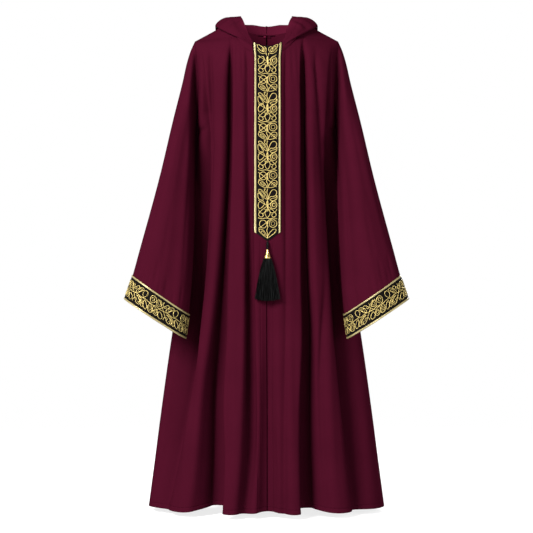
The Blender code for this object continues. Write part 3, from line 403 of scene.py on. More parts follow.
# Hood, right half, in mm: a row for each share of the way round the neck, from the placket, 0, past
# the shoulder, 0.543, to the centre back, 1. The cloth goes from the neck seam up to the stand, then
# under, round the low fold, over, and to the face edge. The stand is set from the seam, and under
# and fold by x, z and their distance from the body.
HOOD_ROWS = {
    # share: (stand dx, dy, dz, under x, z, off, fold x, z, off, over x, y, z, edge x, y, z)
    0.000: (0.2, 1, 4, 45, -106, 0, 45, -99, 4, 44.5, -98, -93, 43.5, -93, -86),
    0.100: (-0.4, 0.5, 4, 68.5, -89, 1, 66, -83, 6, 59, -91, -78, 50, -86, -72),
    0.170: (0, -2, 3, 82, -76, 4, 81, -73, 9, 70, -86, -68, 54, -78, -60),
    0.275: (0.5, -4, 5, 97, -57, 6, 101, -60, 11, 85, -75, -50, 61, -60, -38),
    0.385: (1, -3, 6, 112, -40, 6, 122, -48, 11, 100, -54, -26, 69, -34, -14),
    0.470: (0, -1, 6, 119, -27, 6, 137, -39, 11, 110, -24, -9, 75, -12, -2),
    0.543: (-1.5, 0, 6, 126, -17, 6, 149, -28, 8, 120, 4, -3, 78, 10, 4),
    0.700: (-5, 5, 12, 118, -44, 8, 143, -66, 10, 138, 76, -20, 106, 82, -2),
    0.850: (-9, 15, 27, 90, -106, 8, 106, -174, 10, 108, 152, -94, 82, 140, -24),
    1.000: (0, 16, 26, 0, -136, 8, 0, -256, 10, 0, 180, -150, 0, 166, -44),
}
# The shares up the cloth of those eight lines and of the solid's rows, and what each line clears
HOOD_SHARES = np.array([0, 0.12, 0.34, 0.54, 0.58, 0.62, 0.82, 1])
HOOD_DOWN = (0, 0.06, 0.12, 0.19, 0.27, 0.36, 0.45, 0.54, 0.58, 0.62, 0.68, 0.75, 0.83, 0.92, 1)
HOOD_CLEAR = mm(0, 2.5, 6.5, 6.5, 10, 13, 13, 13)
# The low fold's round, and beside the placket the roll that stands in its place
FOLD_ROUND = 3.5 * MM
FOLD_FORWARD = 30 * MM
FOLD_FROM = 0.2
FOLD_WHOLE = 0.42
ROLL_BULGE = 1.2 * MM
ROLL_RISE = (0.25, 0.6, 0.88)
ROLL_BULGES = (0.7, 1.0, 0.5)
ROLL_OVER = (0.15, 1.6)
SHOULDER_STATION = 0.56
HOOD_LIFT = 0.5 * MM
# The body's surface as the hood's cloth feels it: samples each way, their reach, and how near counts
BODY_SAMPLES = 161
SAMPLE_REACH = 200 * MM
SAMPLE_FALL = 300 * MM
SAMPLE_NEAR = 6 * MM
# How far round the neck the hood follows the placket's shift
PLACKET_FOLLOWED = 1 / 3
# The rounded lip at the low fold: its share up the cloth, height and half width, then where round
# the neck it starts and ends
HOOD_LOW = 0.59
HOOD_LIP = 3.2 * MM
LIP_WIDTH = 0.05
LIP_START = 0.06
LIP_END = 0.62
LIP_FALL = 0.15
# The furrow of the hood's middle seam and of its stitched edge, its places in shares of the cloth
HOOD_SEAM_DEPTH = 2 * MM
HOOD_SEAM_WIDTH = 0.008
HOOD_SEAM_START = 0.1
HOOD_SEAM_CLEAR = 0.03
HOOD_HEM_WIDTH = 0.012
# Small creases of the hood: from share round the neck, share up the cloth, to the same, half width
# as a share round the neck, depth in mm
HOOD_CREASES = (
    (0.2, 0.62, 0.26, 0.95, 0.02, 0.8),
    (0.33, 0.6, 0.36, 0.96, 0.02, -2.4),
    (0.39, 0.62, 0.4, 0.99, 0.016, 2.2),
    (0.45, 0.58, 0.45, 0.96, 0.018, -2.6),
    (0.5, 0.58, 0.5, 0.98, 0.016, 2.6),
    (0.55, 0.58, 0.55, 0.94, 0.018, -3),
    (0.6, 0.62, 0.6, 0.98, 0.018, 2.6),
    (0.65, 0.58, 0.64, 0.98, 0.022, -2.4),
    (0.71, 0.6, 0.72, 0.96, 0.026, 2),
    (0.79, 0.56, 0.78, 0.92, 0.026, -2.2),
    (0.86, 0.6, 0.88, 0.97, 0.024, 2.4),
    (0.93, 0.58, 0.92, 0.9, 0.022, -2),
)

# Closing at the back of the neck
SLIT_DROP = 130 * MM
SLIT_HALF = 0.8 * MM
SLIT_TAPER = 40 * MM
# Button and loop, from the middle seam and the neck down
BUTTON_RADIUS = 4.5 * MM
BUTTON_DEPTH = 3.2 * MM
BUTTON_X = -5.2 * MM
BUTTON_Z = -47 * MM
BUTTON_STAND_OFF = 0.7 * MM
LOOP_X = 8 * MM
LOOP_HALF_LENGTH = 4.6 * MM
LOOP_HALF_HEIGHT = 2.6 * MM
LOOP_THREAD = 0.75 * MM
LOOP_SAMPLES = 49
# The button's grid, how much of a full ball's side its dome shows, and its cloth's map
BUTTON_RINGS = 9
BUTTON_TURNS = 28
BUTTON_BALL = 0.6
BUTTON_MAP = (28 * MM, 6 * MM)

# A cord's up where nothing else gives it
FORWARD = np.array([0, -1.0, 0])
# Angle above which an edge is shaded sharp, and a length that counts as none
SHARP_ANGLE = math.radians(60)
TINY = 1e-9

# Tassel
CORD_RADIUS = 3.4 * MM
CORD_LENGTH = 22 * MM
CORD_GAP = 0.4 * MM
CAP_LENGTH = 25 * MM
CAP_BOTTOM_RADIUS = 10.5 * MM
HEAD_LENGTH = 5 * MM
STRAND_LENGTH = 121 * MM
FRINGE_HALF_WIDTH = 35 * MM
FRINGE_HALF_DEPTH = 10 * MM
TASSEL_STAND_OFF = 12.5 * MM
TASSEL_BELOW_POINT = 2 * MM
# The cord's three plies: their number, half turns, radius as a share of the cord's, and overlap
PLIES = 3
PLY_HALF_TURNS = 5
PLY_SHARE = 0.5
PLY_OVERLAP = 1.05
PLY_SAMPLES = 40
# Strands: their roots on a sunflower spiral, how far they fan out past the fringe's half sizes, how
# much shorter the outer ones are, and the heights and steps of their uneven tips and slow waves
GOLDEN_ANGLE = 2.399963
ROOT_INSET = 2.2 * MM
ROOT_DEPTH = 2 * MM
FAN_WIDTH = 1.09
FAN_DEPTH = 1.1
OUTER_SHORTER = 0.035
UNEVEN_TIPS = ((1.6 * MM, 1.7), (1.2 * MM, 0.37))
STRAND_SAMPLES = 14
STRAND_BULGE = 0.75
WAVE_ACROSS = 0.7 * MM
WAVE_DEEP = 0.5 * MM
# The cap's profile: radius and height in mm, from the cord down to its rim and inside
CAP_PROFILE = (
    (0, 0),
    (2.3, 0),
    (3, -0.5),
    (3.2, -1.4),
    (2.9, -2.4),
    (3, -3.4),
    (3.9, -5.6),
    (4.9, -9),
    (6.4, -13),
    (8.1, -17),
    (9.4, -20.4),
    (9.9, -21.8),
    (10.5, -22.3),
    (10.6, -23.2),
    (10.5, -24.4),
    (10, -25),
    (9.3, -24.6),
    (8.9, -23),
    (8.6, -20),
    (0, -19),
)

# Finishes: scales of the noises, pitches of the ribs, heights of the bumps, and a worn brown
TONE_SCALE = 9.0
GRAIN_SCALE = 900.0
PEBBLE_SCALE = 2300.0
# Scale of the silk's painted highlight streaks
HIGHLIGHT_STREAK_SCALE = 330.0
TWILL_PITCH = 1.6 * MM
WEFT_PITCH = 0.9 * MM
SATIN_PITCH = 1.1 * MM
BUMP_HIGH = 0.3 * MM
BUMP_LOW = 0.2 * MM
BAND_WORN = (0.0034, 0.0023, 0.0018, 1)
# Threads: roughness, metallic, length of a twist, and the tone of the shade painted between its ribs
THREADS = {
    "gold_thread": (0.42, 0.55, 3.5 * MM, 0.55),
    "wine_button": (0.7, 0.0, 2 * MM, 0.8),
    "wine_thread": (0.6, 0.0, 2 * MM, 0.5),
    "dark_seam": (0.9, 0.0, 2 * MM, 0.5),
}
# How much lighter the button's crepe cover is painted than the cloth: painted light on its dome
BUTTON_PAINTED_LIGHT = 1.7
# How dark the seams' painted shade is, as a share of the cloth's colour
SEAM_SHADE_TONE = 0.1

# Stage: each lamp's name, place, aim, size and power as a share of the key light's
LAMPS = (
    ("key", (-2.6, -3.6, 1.7), (0, 0, -0.7), 1.9, 1),
    ("fill", (3.4, -3.2, 0.2), (0, 0, -0.8), 2.4, 0.12),
    ("back", (1.8, 4.4, 1.4), (0, 0, -0.7), 2.2, 0.6),
    ("neck", (0, -0.07, -0.03), (0, 0.12, -0.075), 0.08, 0.0007),
)
CAMERA_PLACE = (0, -5.0, -0.741)
SENSOR_WIDTH = 36
# The sky fades with height and the floor with distance: from, to, and the values there
SKY_FADE = (0.42, 0.72, 1.0, 0.12)
FLOOR_FADE = (0.9, 2.8, 1.0, 0.0)
FLOOR_RADIUS = 3
FLOOR_TURNS = 64
FLOOR_GLOW = 0.8

# Grid sizes of the solids: columns from fold to fold, rows from the top to the hem
CHEST_SHARES = (0.096, 0.27, 0.48, 0.68, 0.83, 0.91, 0.965, 1)
FRONT_STEPS = (2, len(CHEST_SHARES), 4, 4, 4)
BACK_STEPS = (3, 5, 5, 4)
NECK_COLUMNS = sum(BACK_STEPS[:2])
ARMHOLE_ROWS = 12
WAIST_ROWS = 3
SKIRT_ROWS = 6
# How rows crowd up to the neck, how near the shoulder's tip they go by even angles instead, and how
# soon the columns reach their folds
ROW_POWER = 1.7
TIP_POWER = 6
FOLDS_IN = 1.6
# The column that tells which way a panel faces, and how far the wall at the shoulder looks up
MIDDLE_COLUMN = 6
SHOULDER_UP = 0.3
NEARLY = 1e-6
# How much finer the cloth is cut, then the other grids
COLUMN_CUTS = 4
ARMHOLE_CUTS = 4
LOWER_CUTS = 11
SLEEVE_RINGS = 130
SLEEVE_TURNS = 144
HOOD_CUTS = 5
# Extra rows, in mm above the hem, that shape the stitched line, and extra columns beside the seam
HEM_ROWS = mm(2, 4, 7, 9, 10.5, 12, 13, 14, 15.5, 17, 19, 23)
SEAM_COLUMNS = 29
SEAM_CROWDING = 1.5
PLACKET_COLUMNS = 61
PLACKET_ROWS = 190
CUFF_ROWS = 25
CUFF_TURNS = 192
CUFF_MEASURES = 721
BRAID_POINTS = 9

# Stitches: length, distance from one to the next, half thickness, points, height and how deep the
# ends are sunk as shares of that, and where the lines run
STITCH_LENGTH = 2.3 * MM
STITCH_STEP = 3.3 * MM
STITCH_RADIUS = 0.28 * MM
STITCH_POINTS = 4
STITCH_HIGH = 0.9
STITCH_SUNK = 0.25
TOPSTITCH_X = 18 * MM
HEM_STITCH = 13 * MM
HOOD_HEM = 0.86
GROOVE_DEPTH = 0.9 * MM
GROOVE_WIDTH = 1.8 * MM
# Pressed middle seams: the groove's depth and half width, where it sets in, and the near-black line of
# painted shade along it
SEAM_DEPTH = 1.2 * MM
SEAM_WIDTH = 1.3 * MM
FRONT_SEAM_TAPER = 10 * MM
BACK_SEAM_TAPER = 20 * MM
SEAM_RAISED = 0.4 * MM
SEAM_INSIDE = 0.3 * MM
SEAM_SHADE_RADIUS = 1.1 * MM
SEAM_SAMPLES = 120
# Where the painted line of seam shade starts below the placket's point, and where the hood hides it, as
# shares up
SEAM_BELOW_POINT = 4 * MM
HOOD_SEAM_HIDDEN = (0.3, 0.8)
# Where the front's topstitching starts above the placket's point, the row counted from the hem
# that its column is measured on, and the row and first column of the neck's stitches
TOPSTITCH_ABOVE_POINT = 12 * MM
TOPSTITCH_ROW = 40
NECK_STITCH_ROW = 3
NECK_STITCH_COLUMN = 2

# Couched cords: a loop's second line and its thickness as shares of the loop's, samples of a cord,
# how far a cord stands clear of the band, the step from one height to the next, and its waver
INNER_LOOP = 0.5
INNER_THICKNESS = 0.62
CORD_SAMPLES = 34
CORD_STAND = 0.45
CORD_LEVEL = 0.22 * MM
CORD_WAVER = 0.12 * MM
CORD_WAVES = 3
CORD_LEVELS = 3
CORD_FLAT = 0.75
# Where the placket's chart starts in mm of drop, how often it repeats, how deep its top figure is,
# and how far its last repeat stays from the point's figure
CHART_DROP = 95
CHART_REPEATS = 4
TOP_CHART_DEPTH = 30
POINT_CLEAR = 6

# One repeat of the placket's ornament in mm, x to both sides of the middle and y down: for each
# cord whether it closes, its thickness as a share, its height order, then the points it runs through
PLACKET_REPEAT = 140.0
PLACKET_CHART = (
    # leaf fan: a leaf to each side of a stem that rises between them
    (True, 1, 0, ((-2, 31), (-12, 25), (-24, 10), (-25, 3), (-17, 5), (-6, 18))),
    (True, 1, 1, ((2, 31), (7, 14), (15, 4), (24, 6), (26, 15), (19, 23), (9, 24))),
    (False, 1.1, 2, ((0, 2), (-2, 12), (1, 22), (0, 34), (-3, 44), (2, 56), (0, 66))),
    (False, 1.9, 0, ((0, 36), (1, 46), (0, 58))),
    (False, 1.7, 0, ((1, 96), (-1, 104), (1, 113))),
    (True, 0.9, 1, ((-27, 13), (-21, 17), (-15, 26), (-12, 33), (-21, 33), (-27, 26))),
    (True, 0.9, 2, ((27, 20), (23, 27), (14, 29), (7, 33), (16, 36), (26, 31))),
    (False, 0.9, 0, ((-4, 3), (-9, 1), (-8, 8), (-4, 13))),
    # two long strands that cross, each ending in a scroll
    (False, 1, 2,
     ((-26, 34), (-18, 40), (-6, 47), (8, 57), (20, 68), (25, 77), (18, 83), (12, 78), (16, 73))),
    (False, 1, 0,
     ((26, 31), (17, 37), (5, 46), (-9, 57), (-20, 66), (-26, 76), (-19, 83), (-12, 79), (-15, 73))),
    (True, 1, 1, ((-24, 40), (-14, 36), (-9, 44), (-15, 54), (-24, 58), (-27, 49))),
    (True, 1, 2, ((13, 38), (22, 38), (27, 47), (23, 57), (13, 58), (9, 48))),
    (False, 0.8, 0, ((23, 42), (16, 44), (15, 51), (20, 53), (22, 49))),
    (True, 0.9, 1, ((0, 60), (7, 67), (6, 77), (0, 84), (-6, 77), (-7, 67))),
    (False, 1.1, 2, ((-27, 85), (-18, 88), (-6, 86), (6, 88), (18, 86), (27, 88))),
    (False, 0.9, 0, ((-26, 62), (-21, 70), (-11, 72), (-3, 64), (-9, 60))),
    (False, 0.9, 2, ((27, 60), (22, 68), (12, 71), (5, 64), (10, 59))),
    # ring with a crossing through it
    (True, 1, 1, ((-12, 92), (-4, 97), (-2, 106), (-8, 114), (-17, 114), (-23, 106), (-21, 96))),
    (False, 1, 2, ((-27, 93), (-17, 100), (-6, 109), (6, 119), (17, 128), (26, 136))),
    (False, 1, 0, ((-26, 116), (-16, 109), (-6, 101), (4, 93), (12, 90))),
    (True, 1, 0, ((8, 94), (18, 91), (26, 97), (26, 107), (17, 113), (8, 110), (5, 102))),
    (True, 1, 2, ((-2, 137), (-14, 135), (-25, 126), (-25, 118), (-16, 119), (-7, 127))),
    (False, 0.8, 1, ((-8, 132), (-15, 128), (-21, 122))),
    (True, 1, 1, ((3, 137), (8, 124), (17, 117), (26, 119), (26, 129), (17, 136))),
    (False, 0.8, 0, ((10, 131), (16, 124), (22, 124), (20, 130), (15, 131))),
    (False, 1, 1, ((0, 112), (-3, 120), (1, 128), (0, 140))),
)

# One repeat of the cuff's ornament in mm, x along the band and y from its middle to the edge
CUFF_REPEAT = 112.0
CUFF_DRAWN = 0.9
CUFF_CHART = (
    (False, 1.1, 2,
     ((0, 0), (14, 1.5), (28, -1), (42, 1.5), (56, 0), (70, -1.5), (84, 1), (98, -1.5), (112, 0))),
    (True, 1, 0, ((6, 2), (2, 14), (6, 25), (14, 26), (17, 16), (13, 6))),
    (True, 1, 1, ((20, 3), (18, 13), (24, 23), (33, 25), (37, 17), (31, 7))),
    (False, 0.9, 0, ((24, 9), (25, 17), (31, 20), (33, 14), (29, 11))),
    (True, 1, 1, ((8, -3), (18, -8), (24, -18), (18, -26), (8, -25), (3, -14))),
    (False, 0.9, 0, ((10, -8), (17, -14), (15, -21), (9, -19), (9, -14))),
    (False, 1, 2, ((16, 26), (24, 14), (36, 3), (48, -8), (58, -20), (66, -26), (72, -22), (69, -17))),
    (False, 1, 0,
     ((28, -26), (36, -22), (46, -10), (56, 3), (64, 14), (72, 24), (80, 26), (82, 20), (77, 18))),
    (True, 1, 1, ((42, 8), (50, 12), (54, 21), (48, 27), (40, 24), (38, 15))),
    (True, 1, 2, ((30, -5), (40, -8), (44, -17), (38, -25), (29, -22), (26, -13))),
    (True, 1, 2, ((62, -4), (72, -7), (78, -15), (74, -11), (88, -24), (80, -27), (66, -16))),
    (True, 1, 0, ((66, 4), (76, 7), (84, 15), (92, 25), (98, 22), (94, 12), (82, 4))),
    (False, 0.9, 2, ((58, 25), (60, 17), (67, 12), (72, 16), (68, 21))),
    (True, 1, 1, ((92, -3), (100, -10), (104, -20), (100, -27), (92, -24), (87, -14))),
    (True, 1, 1, ((98, 3), (106, 8), (111, 18), (108, 26), (101, 23), (97, 13))),
    (False, 0.9, 0, ((50, -26), (49, -18), (55, -11), (60, -15), (57, -20))),
    (False, 0.9, 2, ((84, 27), (88, 19), (86, 11), (80, 11))),
)

# Two winged knots beside the slit at the placket's top edge, and the stem below them
TOP_CHART = (
    (True, 1, 0, ((-4, 11), (-10, 7), (-15, 13), (-12, 22), (-5, 21))),
    (True, 1, 1, ((-9, 16), (-19, 5), (-29, 0), (-29, 7), (-22, 16), (-14, 22))),
    (False, 0.9, 2, ((-28, 16), (-22, 24), (-13, 28), (-4, 26), (-3, 33))),
    (True, 1, 1, ((4, 11), (10, 7), (15, 13), (12, 22), (5, 21))),
    (True, 1, 0, ((9, 16), (19, 5), (29, 0), (29, 7), (22, 16), (14, 22))),
    (False, 0.9, 2, ((28, 16), (22, 24), (13, 28), (4, 26), (3, 33))),
    (False, 1.1, 2, ((0, 35), (-2, 43), (2, 55), (0, 66))),
)

# Leaf pair and buds that close the ornament in the placket's point, in mm from the corners' height
POINT_CHART = (
    (True, 1, 0, ((0, 18), (-9, 13), (-22, 2), (-24, -6), (-16, -6), (-6, 4))),
    (True, 1, 1, ((0, 18), (9, 13), (22, 2), (24, -6), (16, -6), (6, 4))),
    (False, 1, 2, ((0, -10), (-2, -2), (1, 8), (0, 20))),
)


# Numbers


def curve(stations, values, at):
    """Values between a table's stations on a smooth cubic, held at its ends."""
    stations = np.asarray(stations, float)
    values = np.asarray(values, float)
    at = np.clip(np.asarray(at, float), stations[0], stations[-1])
    slopes = np.gradient(values, stations, axis=0)
    low = np.clip(np.searchsorted(stations, at, side="right") - 1, 0, len(stations) - 2)
    span = stations[low + 1] - stations[low]
    u = (at - stations[low]) / span
    if values.ndim > 1:
        u = u[..., None]
        span = span[..., None]
    start = (1 + 2 * u) * (1 - u) ** 2
    end = u**2 * (3 - 2 * u)
    rise = span * (u * (1 - u) ** 2 * slopes[low] + u**2 * (u - 1) * slopes[low + 1])
    return start * values[low] + end * values[low + 1] + rise


def ease(u):
    """0 to 1 with flat ends."""
    u = np.clip(u, 0, 1)
    return u * u * (3 - 2 * u)


def bell(u):
    """1 at 0 and falling off to both sides: e to the power of minus the square."""
    return np.exp(-(u**2))


def unit(vectors):
    """The same directions at length one."""
    return vectors / np.maximum(np.linalg.norm(vectors, axis=-1, keepdims=True), 1e-12)


def between(table, rows, columns):
    """A table read at fractional rows and columns, straight between its entries."""
    low = np.clip(rows.astype(int), 0, len(table) - 2)
    share = (rows - low).reshape((-1,) + (1,) * (table.ndim - 1))
    table = table[low] * (1 - share) + table[low + 1] * share
    low = np.clip(columns.astype(int), 0, table.shape[1] - 2)
    share = (columns - low).reshape((1, -1) + (1,) * (table.ndim - 2))
    return table[:, low] * (1 - share) + table[:, low + 1] * share


def finer(count, cuts):
    """Row or column numbers of a grid with every step cut up evenly."""
    return np.arange((count - 1) * cuts + 1) / cuts


def creases_at(table, across, down):
    """Depth of small creases: each is a bell across its line, and rises and falls along it."""
    total = np.zeros(np.broadcast(across, down).shape)
    for start_x, start_y, end_x, end_y, width, depth in table:
        step_x, step_y = end_x - start_x, end_y - start_y
        length = math.hypot(step_x, step_y)
        along = ((across - start_x) * step_x + (down - start_y) * step_y) / length**2
        aside = ((across - start_x) * step_y - (down - start_y) * step_x) / length
        reach = np.sin(math.pi * np.clip(along, 0, 1)) ** CREASE_POWER
        total = total + depth * reach * bell(aside / width)
    return total


def grid_normals(points, around):
    """Unit normals of a grid of points, its columns closed round or open."""
    down = np.gradient(points, axis=0)
    if around:
        across = (np.roll(points, -1, 1) - np.roll(points, 1, 1)) / 2
    else:
        across = np.gradient(points, axis=1)
    return unit(np.cross(across, down))


# Body


def shoulder_height(x):
    """Height of the shoulder line at this distance from the middle."""
    return curve(SHOULDER_X, SHOULDER_Z, np.abs(x))


def half_width(drop):
    """Half the body's width at this drop."""
    return curve(WIDTH_DROP, HALF_WIDTH, drop)


def armhole_depth(drop):
    """Half the armhole's depth at this drop: an ellipse from shoulder tip to underarm."""
    middle = (TIP_DROP + UNDERARM) / 2
    half = (UNDERARM - TIP_DROP) / 2
    return ARMHOLE_DEPTH * np.sqrt(np.clip(1 - ((drop - middle) / half) ** 2, 0, 1))


def valleys(folds, x, drop):
    """Each fold's place from its middle in half widths, half width, depth, lean and name."""
    for name, (places, widths, depths, lean) in folds.items():
        centre, width, deep = (
            curve(FOLD_DROP, mm(*row), drop) for row in (places, widths, depths)
        )
        yield (x - centre) / width, width, np.maximum(deep, 0), lean, name


def folds_at(folds, x, drop):
    """Depth of the folds and their sideways shift: a bell across each valley's own line."""
    depth = np.zeros_like(x)
    shift = np.zeros_like(x)
    for away, width, deep, lean, _ in valleys(folds, x, drop):
        valley = bell(away)
        depth += deep * valley
        shift += ease(deep / FULL_PINCH_DEPTH) * width * valley * (lean - PINCH * away)
    return depth, shift


def body_point(x, drop, half):
    """Outer points of the front (half -1) or back (half 1), and the folds' depth there.

    The section at each drop is half an ellipse between the side edges. Near the shoulders it closes
    over on a round, and beside the armhole it stops short by the armhole's depth. The folds move
    the point in along the ellipse's normal, and a little sideways.
    """
    x, drop = np.broadcast_arrays(np.asarray(x, float), np.asarray(drop, float))
    reach = half_width(drop)
    sine = np.clip(x / reach, -1, 1)
    cosine = np.sqrt(1 - sine**2)
    below = np.clip((shoulder_height(x) + drop) / ROUNDING, 0, 1)
    rounded = np.sqrt(1 - (1 - below) ** 2)
    side_y = curve(SECTION_DROP, SIDE_Y, drop)
    middle_y = curve(SECTION_DROP, FRONT_Y if half < 0 else BACK_Y, drop)
    full = half * (middle_y - side_y)
    arm = armhole_depth(drop)
    depth = rounded * (full - arm) * cosine + arm
    fold, shift = folds_at(FRONT_FOLDS if half < 0 else BACK_FOLDS, x, drop)
    growth = ease((drop - FOLD_START) / (FOLD_FULL - FOLD_START)) * ease(below * 2)
    edge = ease((1 - np.abs(sine)) / SIDE_FADE)
    fold = fold * growth * edge
    normal_x = sine * full
    normal_y = cosine * reach
    length = np.hypot(normal_x, normal_y)
    shift = shift * growth * edge
    x = x + (shift * normal_y - fold * normal_x) / length
    y = side_y + half * (depth - (fold * normal_y + shift * normal_x) / length)
    return np.stack([x, y, -drop], -1), fold


def fold_cores(folds, x, drop):
    """Extra depth in the very middle of each valley: a narrow bell, deeper as the fold deepens."""
    total = 0
    for away, _, deep, _, name in valleys(folds, x, drop):
        tone = FOLD_TONES.get(name, 0)
        if tone >= 0:
            total = total + np.minimum(deep * CORE_SHARE, CORE_DEPTH) * bell(away / CORE_WIDTH)
        total = total + np.clip(deep * tone, -TONE_DEPTH, TONE_DEPTH) * bell(away)
    return total


def crowd_ends(count, amount=0.5):
    """Shares from 0 to 1, without the 0, closer together at both ends."""
    even = np.arange(1, count + 1) / count
    return even - amount * np.sin(2 * math.pi * even) / (2 * math.pi)


def placket_half_width(drop):
    """Half the placket's width, opening out a little towards its top edge."""
    start, end = FLARE_DROP
    return PLACKET_HALF * (1 + (PLACKET_FLARE - 1) * ease((start - drop) / (start - end)))


def panel_columns(side, half, drop, top_share):
    """Distances from the middle of a panel's columns at these drops, one row for each drop.

    Columns run along the folds: from the middle to the placket's edge, then from fold to fold, and
    past the last fold by even angles round the side.
    """
    order = FRONT_ORDER[side] if half < 0 else BACK_ORDER[side]
    folds = FRONT_FOLDS if half < 0 else BACK_FOLDS
    tops = FRONT_TOP_X if half < 0 else BACK_TOP_X
    steps = FRONT_STEPS if half < 0 else BACK_STEPS
    columns = [np.zeros_like(drop)]
    if half < 0:
        across = placket_half_width(drop)
        columns += [PLACKET_X * side + share * across for share in PLACKET_SHARES]
    start = columns[-1]
    for number, (name, top, count) in enumerate(zip(order, tops, steps)):
        place = np.abs(curve(FOLD_DROP, np.array(folds[name][0]) * MM, drop))
        key = top + (place - top) * top_share
        shares = crowd_ends(count) if number else np.arange(1, count + 1) / count
        if half < 0 and number == 1:
            shares = CHEST_SHARES
        columns += [start + (key - start) * share for share in shares]
        start = key
    reach = half_width(drop)
    first = np.arcsin(np.clip(start / reach, 0, 1))
    for share in np.arange(1, steps[-1] + 1) / steps[-1]:
        columns.append(reach * np.sin(first + (math.pi / 2 - first) * share))
    return side * np.stack(columns, -1)


def panel_drops(side, half):
    """Places across and drops of a panel's grid, a row at a time from the top edge to the hem."""
    neck_x = FRONT_NECK_X if half < 0 else BACK_NECK_X
    neck_z = FRONT_NECK_Z if half < 0 else BACK_NECK_Z
    reach = np.abs(panel_columns(side, half, np.array([TIP_DROP]), 0.0)[0])
    for _ in range(2):
        on_neck = reach < NECK_X - NEARLY
        top = -np.where(on_neck, curve(neck_x, neck_z, reach), shoulder_height(reach))
        reach = np.abs(np.diagonal(panel_columns(side, half, top, 0.0)))
    across = reach / TIP_X
    even = np.arange(ARMHOLE_ROWS + 1) / ARMHOLE_ROWS
    by_angle = (1 - np.cos(even * math.pi)) / 2
    by_power = even**ROW_POWER
    weight = across[None, :] ** TIP_POWER
    down = by_angle[:, None] * weight + by_power[:, None] * (1 - weight)
    upper = top + (UNDERARM - top) * down
    corner = np.full_like(reach, PLACKET_CORNER)
    if half < 0:
        from_middle = np.abs(side * reach - PLACKET_X) / PLACKET_HALF
        corner += (PLACKET_POINT - PLACKET_CORNER) * np.clip(1 - from_middle, 0, 1)
    waist = np.arange(1, WAIST_ROWS + 1)[:, None] / WAIST_ROWS
    middle = UNDERARM + (corner - UNDERARM) * waist
    skirt = np.arange(1, SKIRT_ROWS + 1)[:, None] / SKIRT_ROWS
    lower = corner + (HEM_DROP - corner) * skirt
    drop = np.concatenate([upper, middle, lower])
    x = np.empty_like(drop)
    top_share = ease(even * FOLDS_IN)
    for row in range(len(drop)):
        share = top_share[row] if row <= ARMHOLE_ROWS else 1.0
        x[row] = np.diagonal(panel_columns(side, half, drop[row], share))
    x[0] = side * reach
    return x, drop


def panel_walls(x, points, side, half):
    """The directions that a coarse panel's wall is thickened along: level at its sewn edges."""
    normals = grid_normals(points, False)
    normals *= np.sign(normals[ARMHOLE_ROWS, MIDDLE_COLUMN, 1]) * half
    shoulder = np.abs(x[0]) >= NECK_X - NEARLY
    normals[0, shoulder, 1] = 0
    normals[0, shoulder, 2] = np.maximum(normals[0, shoulder, 2], SHOULDER_UP)
    normals[0, np.argmax(shoulder) - 1, 1] *= 0.5
    normals[ARMHOLE_ROWS:, -1, 1] = 0
    normals[:, -1, 0] = side * np.maximum(side * normals[:, -1, 0], 0)
    normals[:, 0, 0] = 0
    return unit(normals)


def seam_gaps(points, drop, side, half, gap=SEAM_GAP):
    """The same points, moved off the middle seam, the side seam and the slit.

    The solid's grid moves its first column alone. The fine cloth, which has columns close beside
    the seam, spreads the move over them as a soft bell, so that none is passed.
    """
    points = points.copy()
    near = np.zeros((1, points.shape[1]))
    near[:, 0] = 1
    if gap < SEAM_GAP:
        near = bell(points[..., 0] / SEAM_SPREAD)
        points[..., 0] += SEAM_X * near
    points[..., 1] += half * gap / 2
    points[..., 0] += side * gap / 2
    if half > 0:
        open_part = ease((SLIT_DROP - drop[:, :1]) / SLIT_TAPER)
        points[..., 0] += side * SLIT_HALF * open_part * near
    return points


@functools.cache
def coarse_panel(side, half):
    """The solid's own grid of one panel: points with their gaps, and wall directions."""
    x, drop = panel_drops(side, half)
    fold = body_point(x[-1], drop[-1], half)[1]
    drop[-1] -= HEM_LIFT * fold
    points = body_point(x, drop, half)[0]
    normals = panel_walls(x, points, side, half)
    return seam_gaps(points, drop, side, half), normals


def panel_rows():
    """Row numbers of the fine panel, with extra rows at the hem's stitched line."""
    count = ARMHOLE_ROWS + WAIST_ROWS + SKIRT_ROWS + 1
    upper = finer(ARMHOLE_ROWS + 1, ARMHOLE_CUTS)
    lower = ARMHOLE_ROWS + finer(count - ARMHOLE_ROWS, LOWER_CUTS)[1:]
    skirt_step = (HEM_DROP - PLACKET_CORNER) / SKIRT_ROWS
    return np.unique(np.round(np.concatenate([upper, lower, count - 1 - HEM_ROWS / skirt_step]), 5))


def panel_steps(count):
    """Column numbers of the fine panel, with extra ones that crowd up to the middle seam."""
    crowded = 2 * np.linspace(0, 1, SEAM_COLUMNS) ** SEAM_CROWDING
    return np.unique(np.round(np.concatenate([crowded, finer(count, COLUMN_CUTS)]), 5))


def cloth_waves(x, drop):
    """Slow waves over the cloth: a few crossing sines of different lengths."""
    total = 0
    for across, down, start, height in DRAPE_WAVES:
        total = total + height * MM * np.sin(across * x + down * 2 * math.pi * drop + start)
    return total * ease((drop - WAVES_START) / WAVES_SPAN)


def sunk(points):
    """The same points, the front ones near the sleeve's seam moved back into a furrow.

    The furrow is a bell across the seam's line, which goes down from the armhole's front.
    """
    drop = -points[..., 2]
    line = np.interp(drop, ARM_GAP_DROP, ARM_GAP_X)
    away = (np.abs(points[..., 0]) - line) / ARM_GAP_WIDTH
    middle = curve(SECTION_DROP, SIDE_Y, drop)
    ahead = ease((middle - points[..., 1] - ARM_GAP_FROM) / ARM_GAP_SPAN)
    deep = np.interp(drop, ARM_GAP_DROP, ARM_GAP_DEPTH)
    moved = points.copy()
    moved[..., 1] += deep * bell(away) * ahead
    return moved


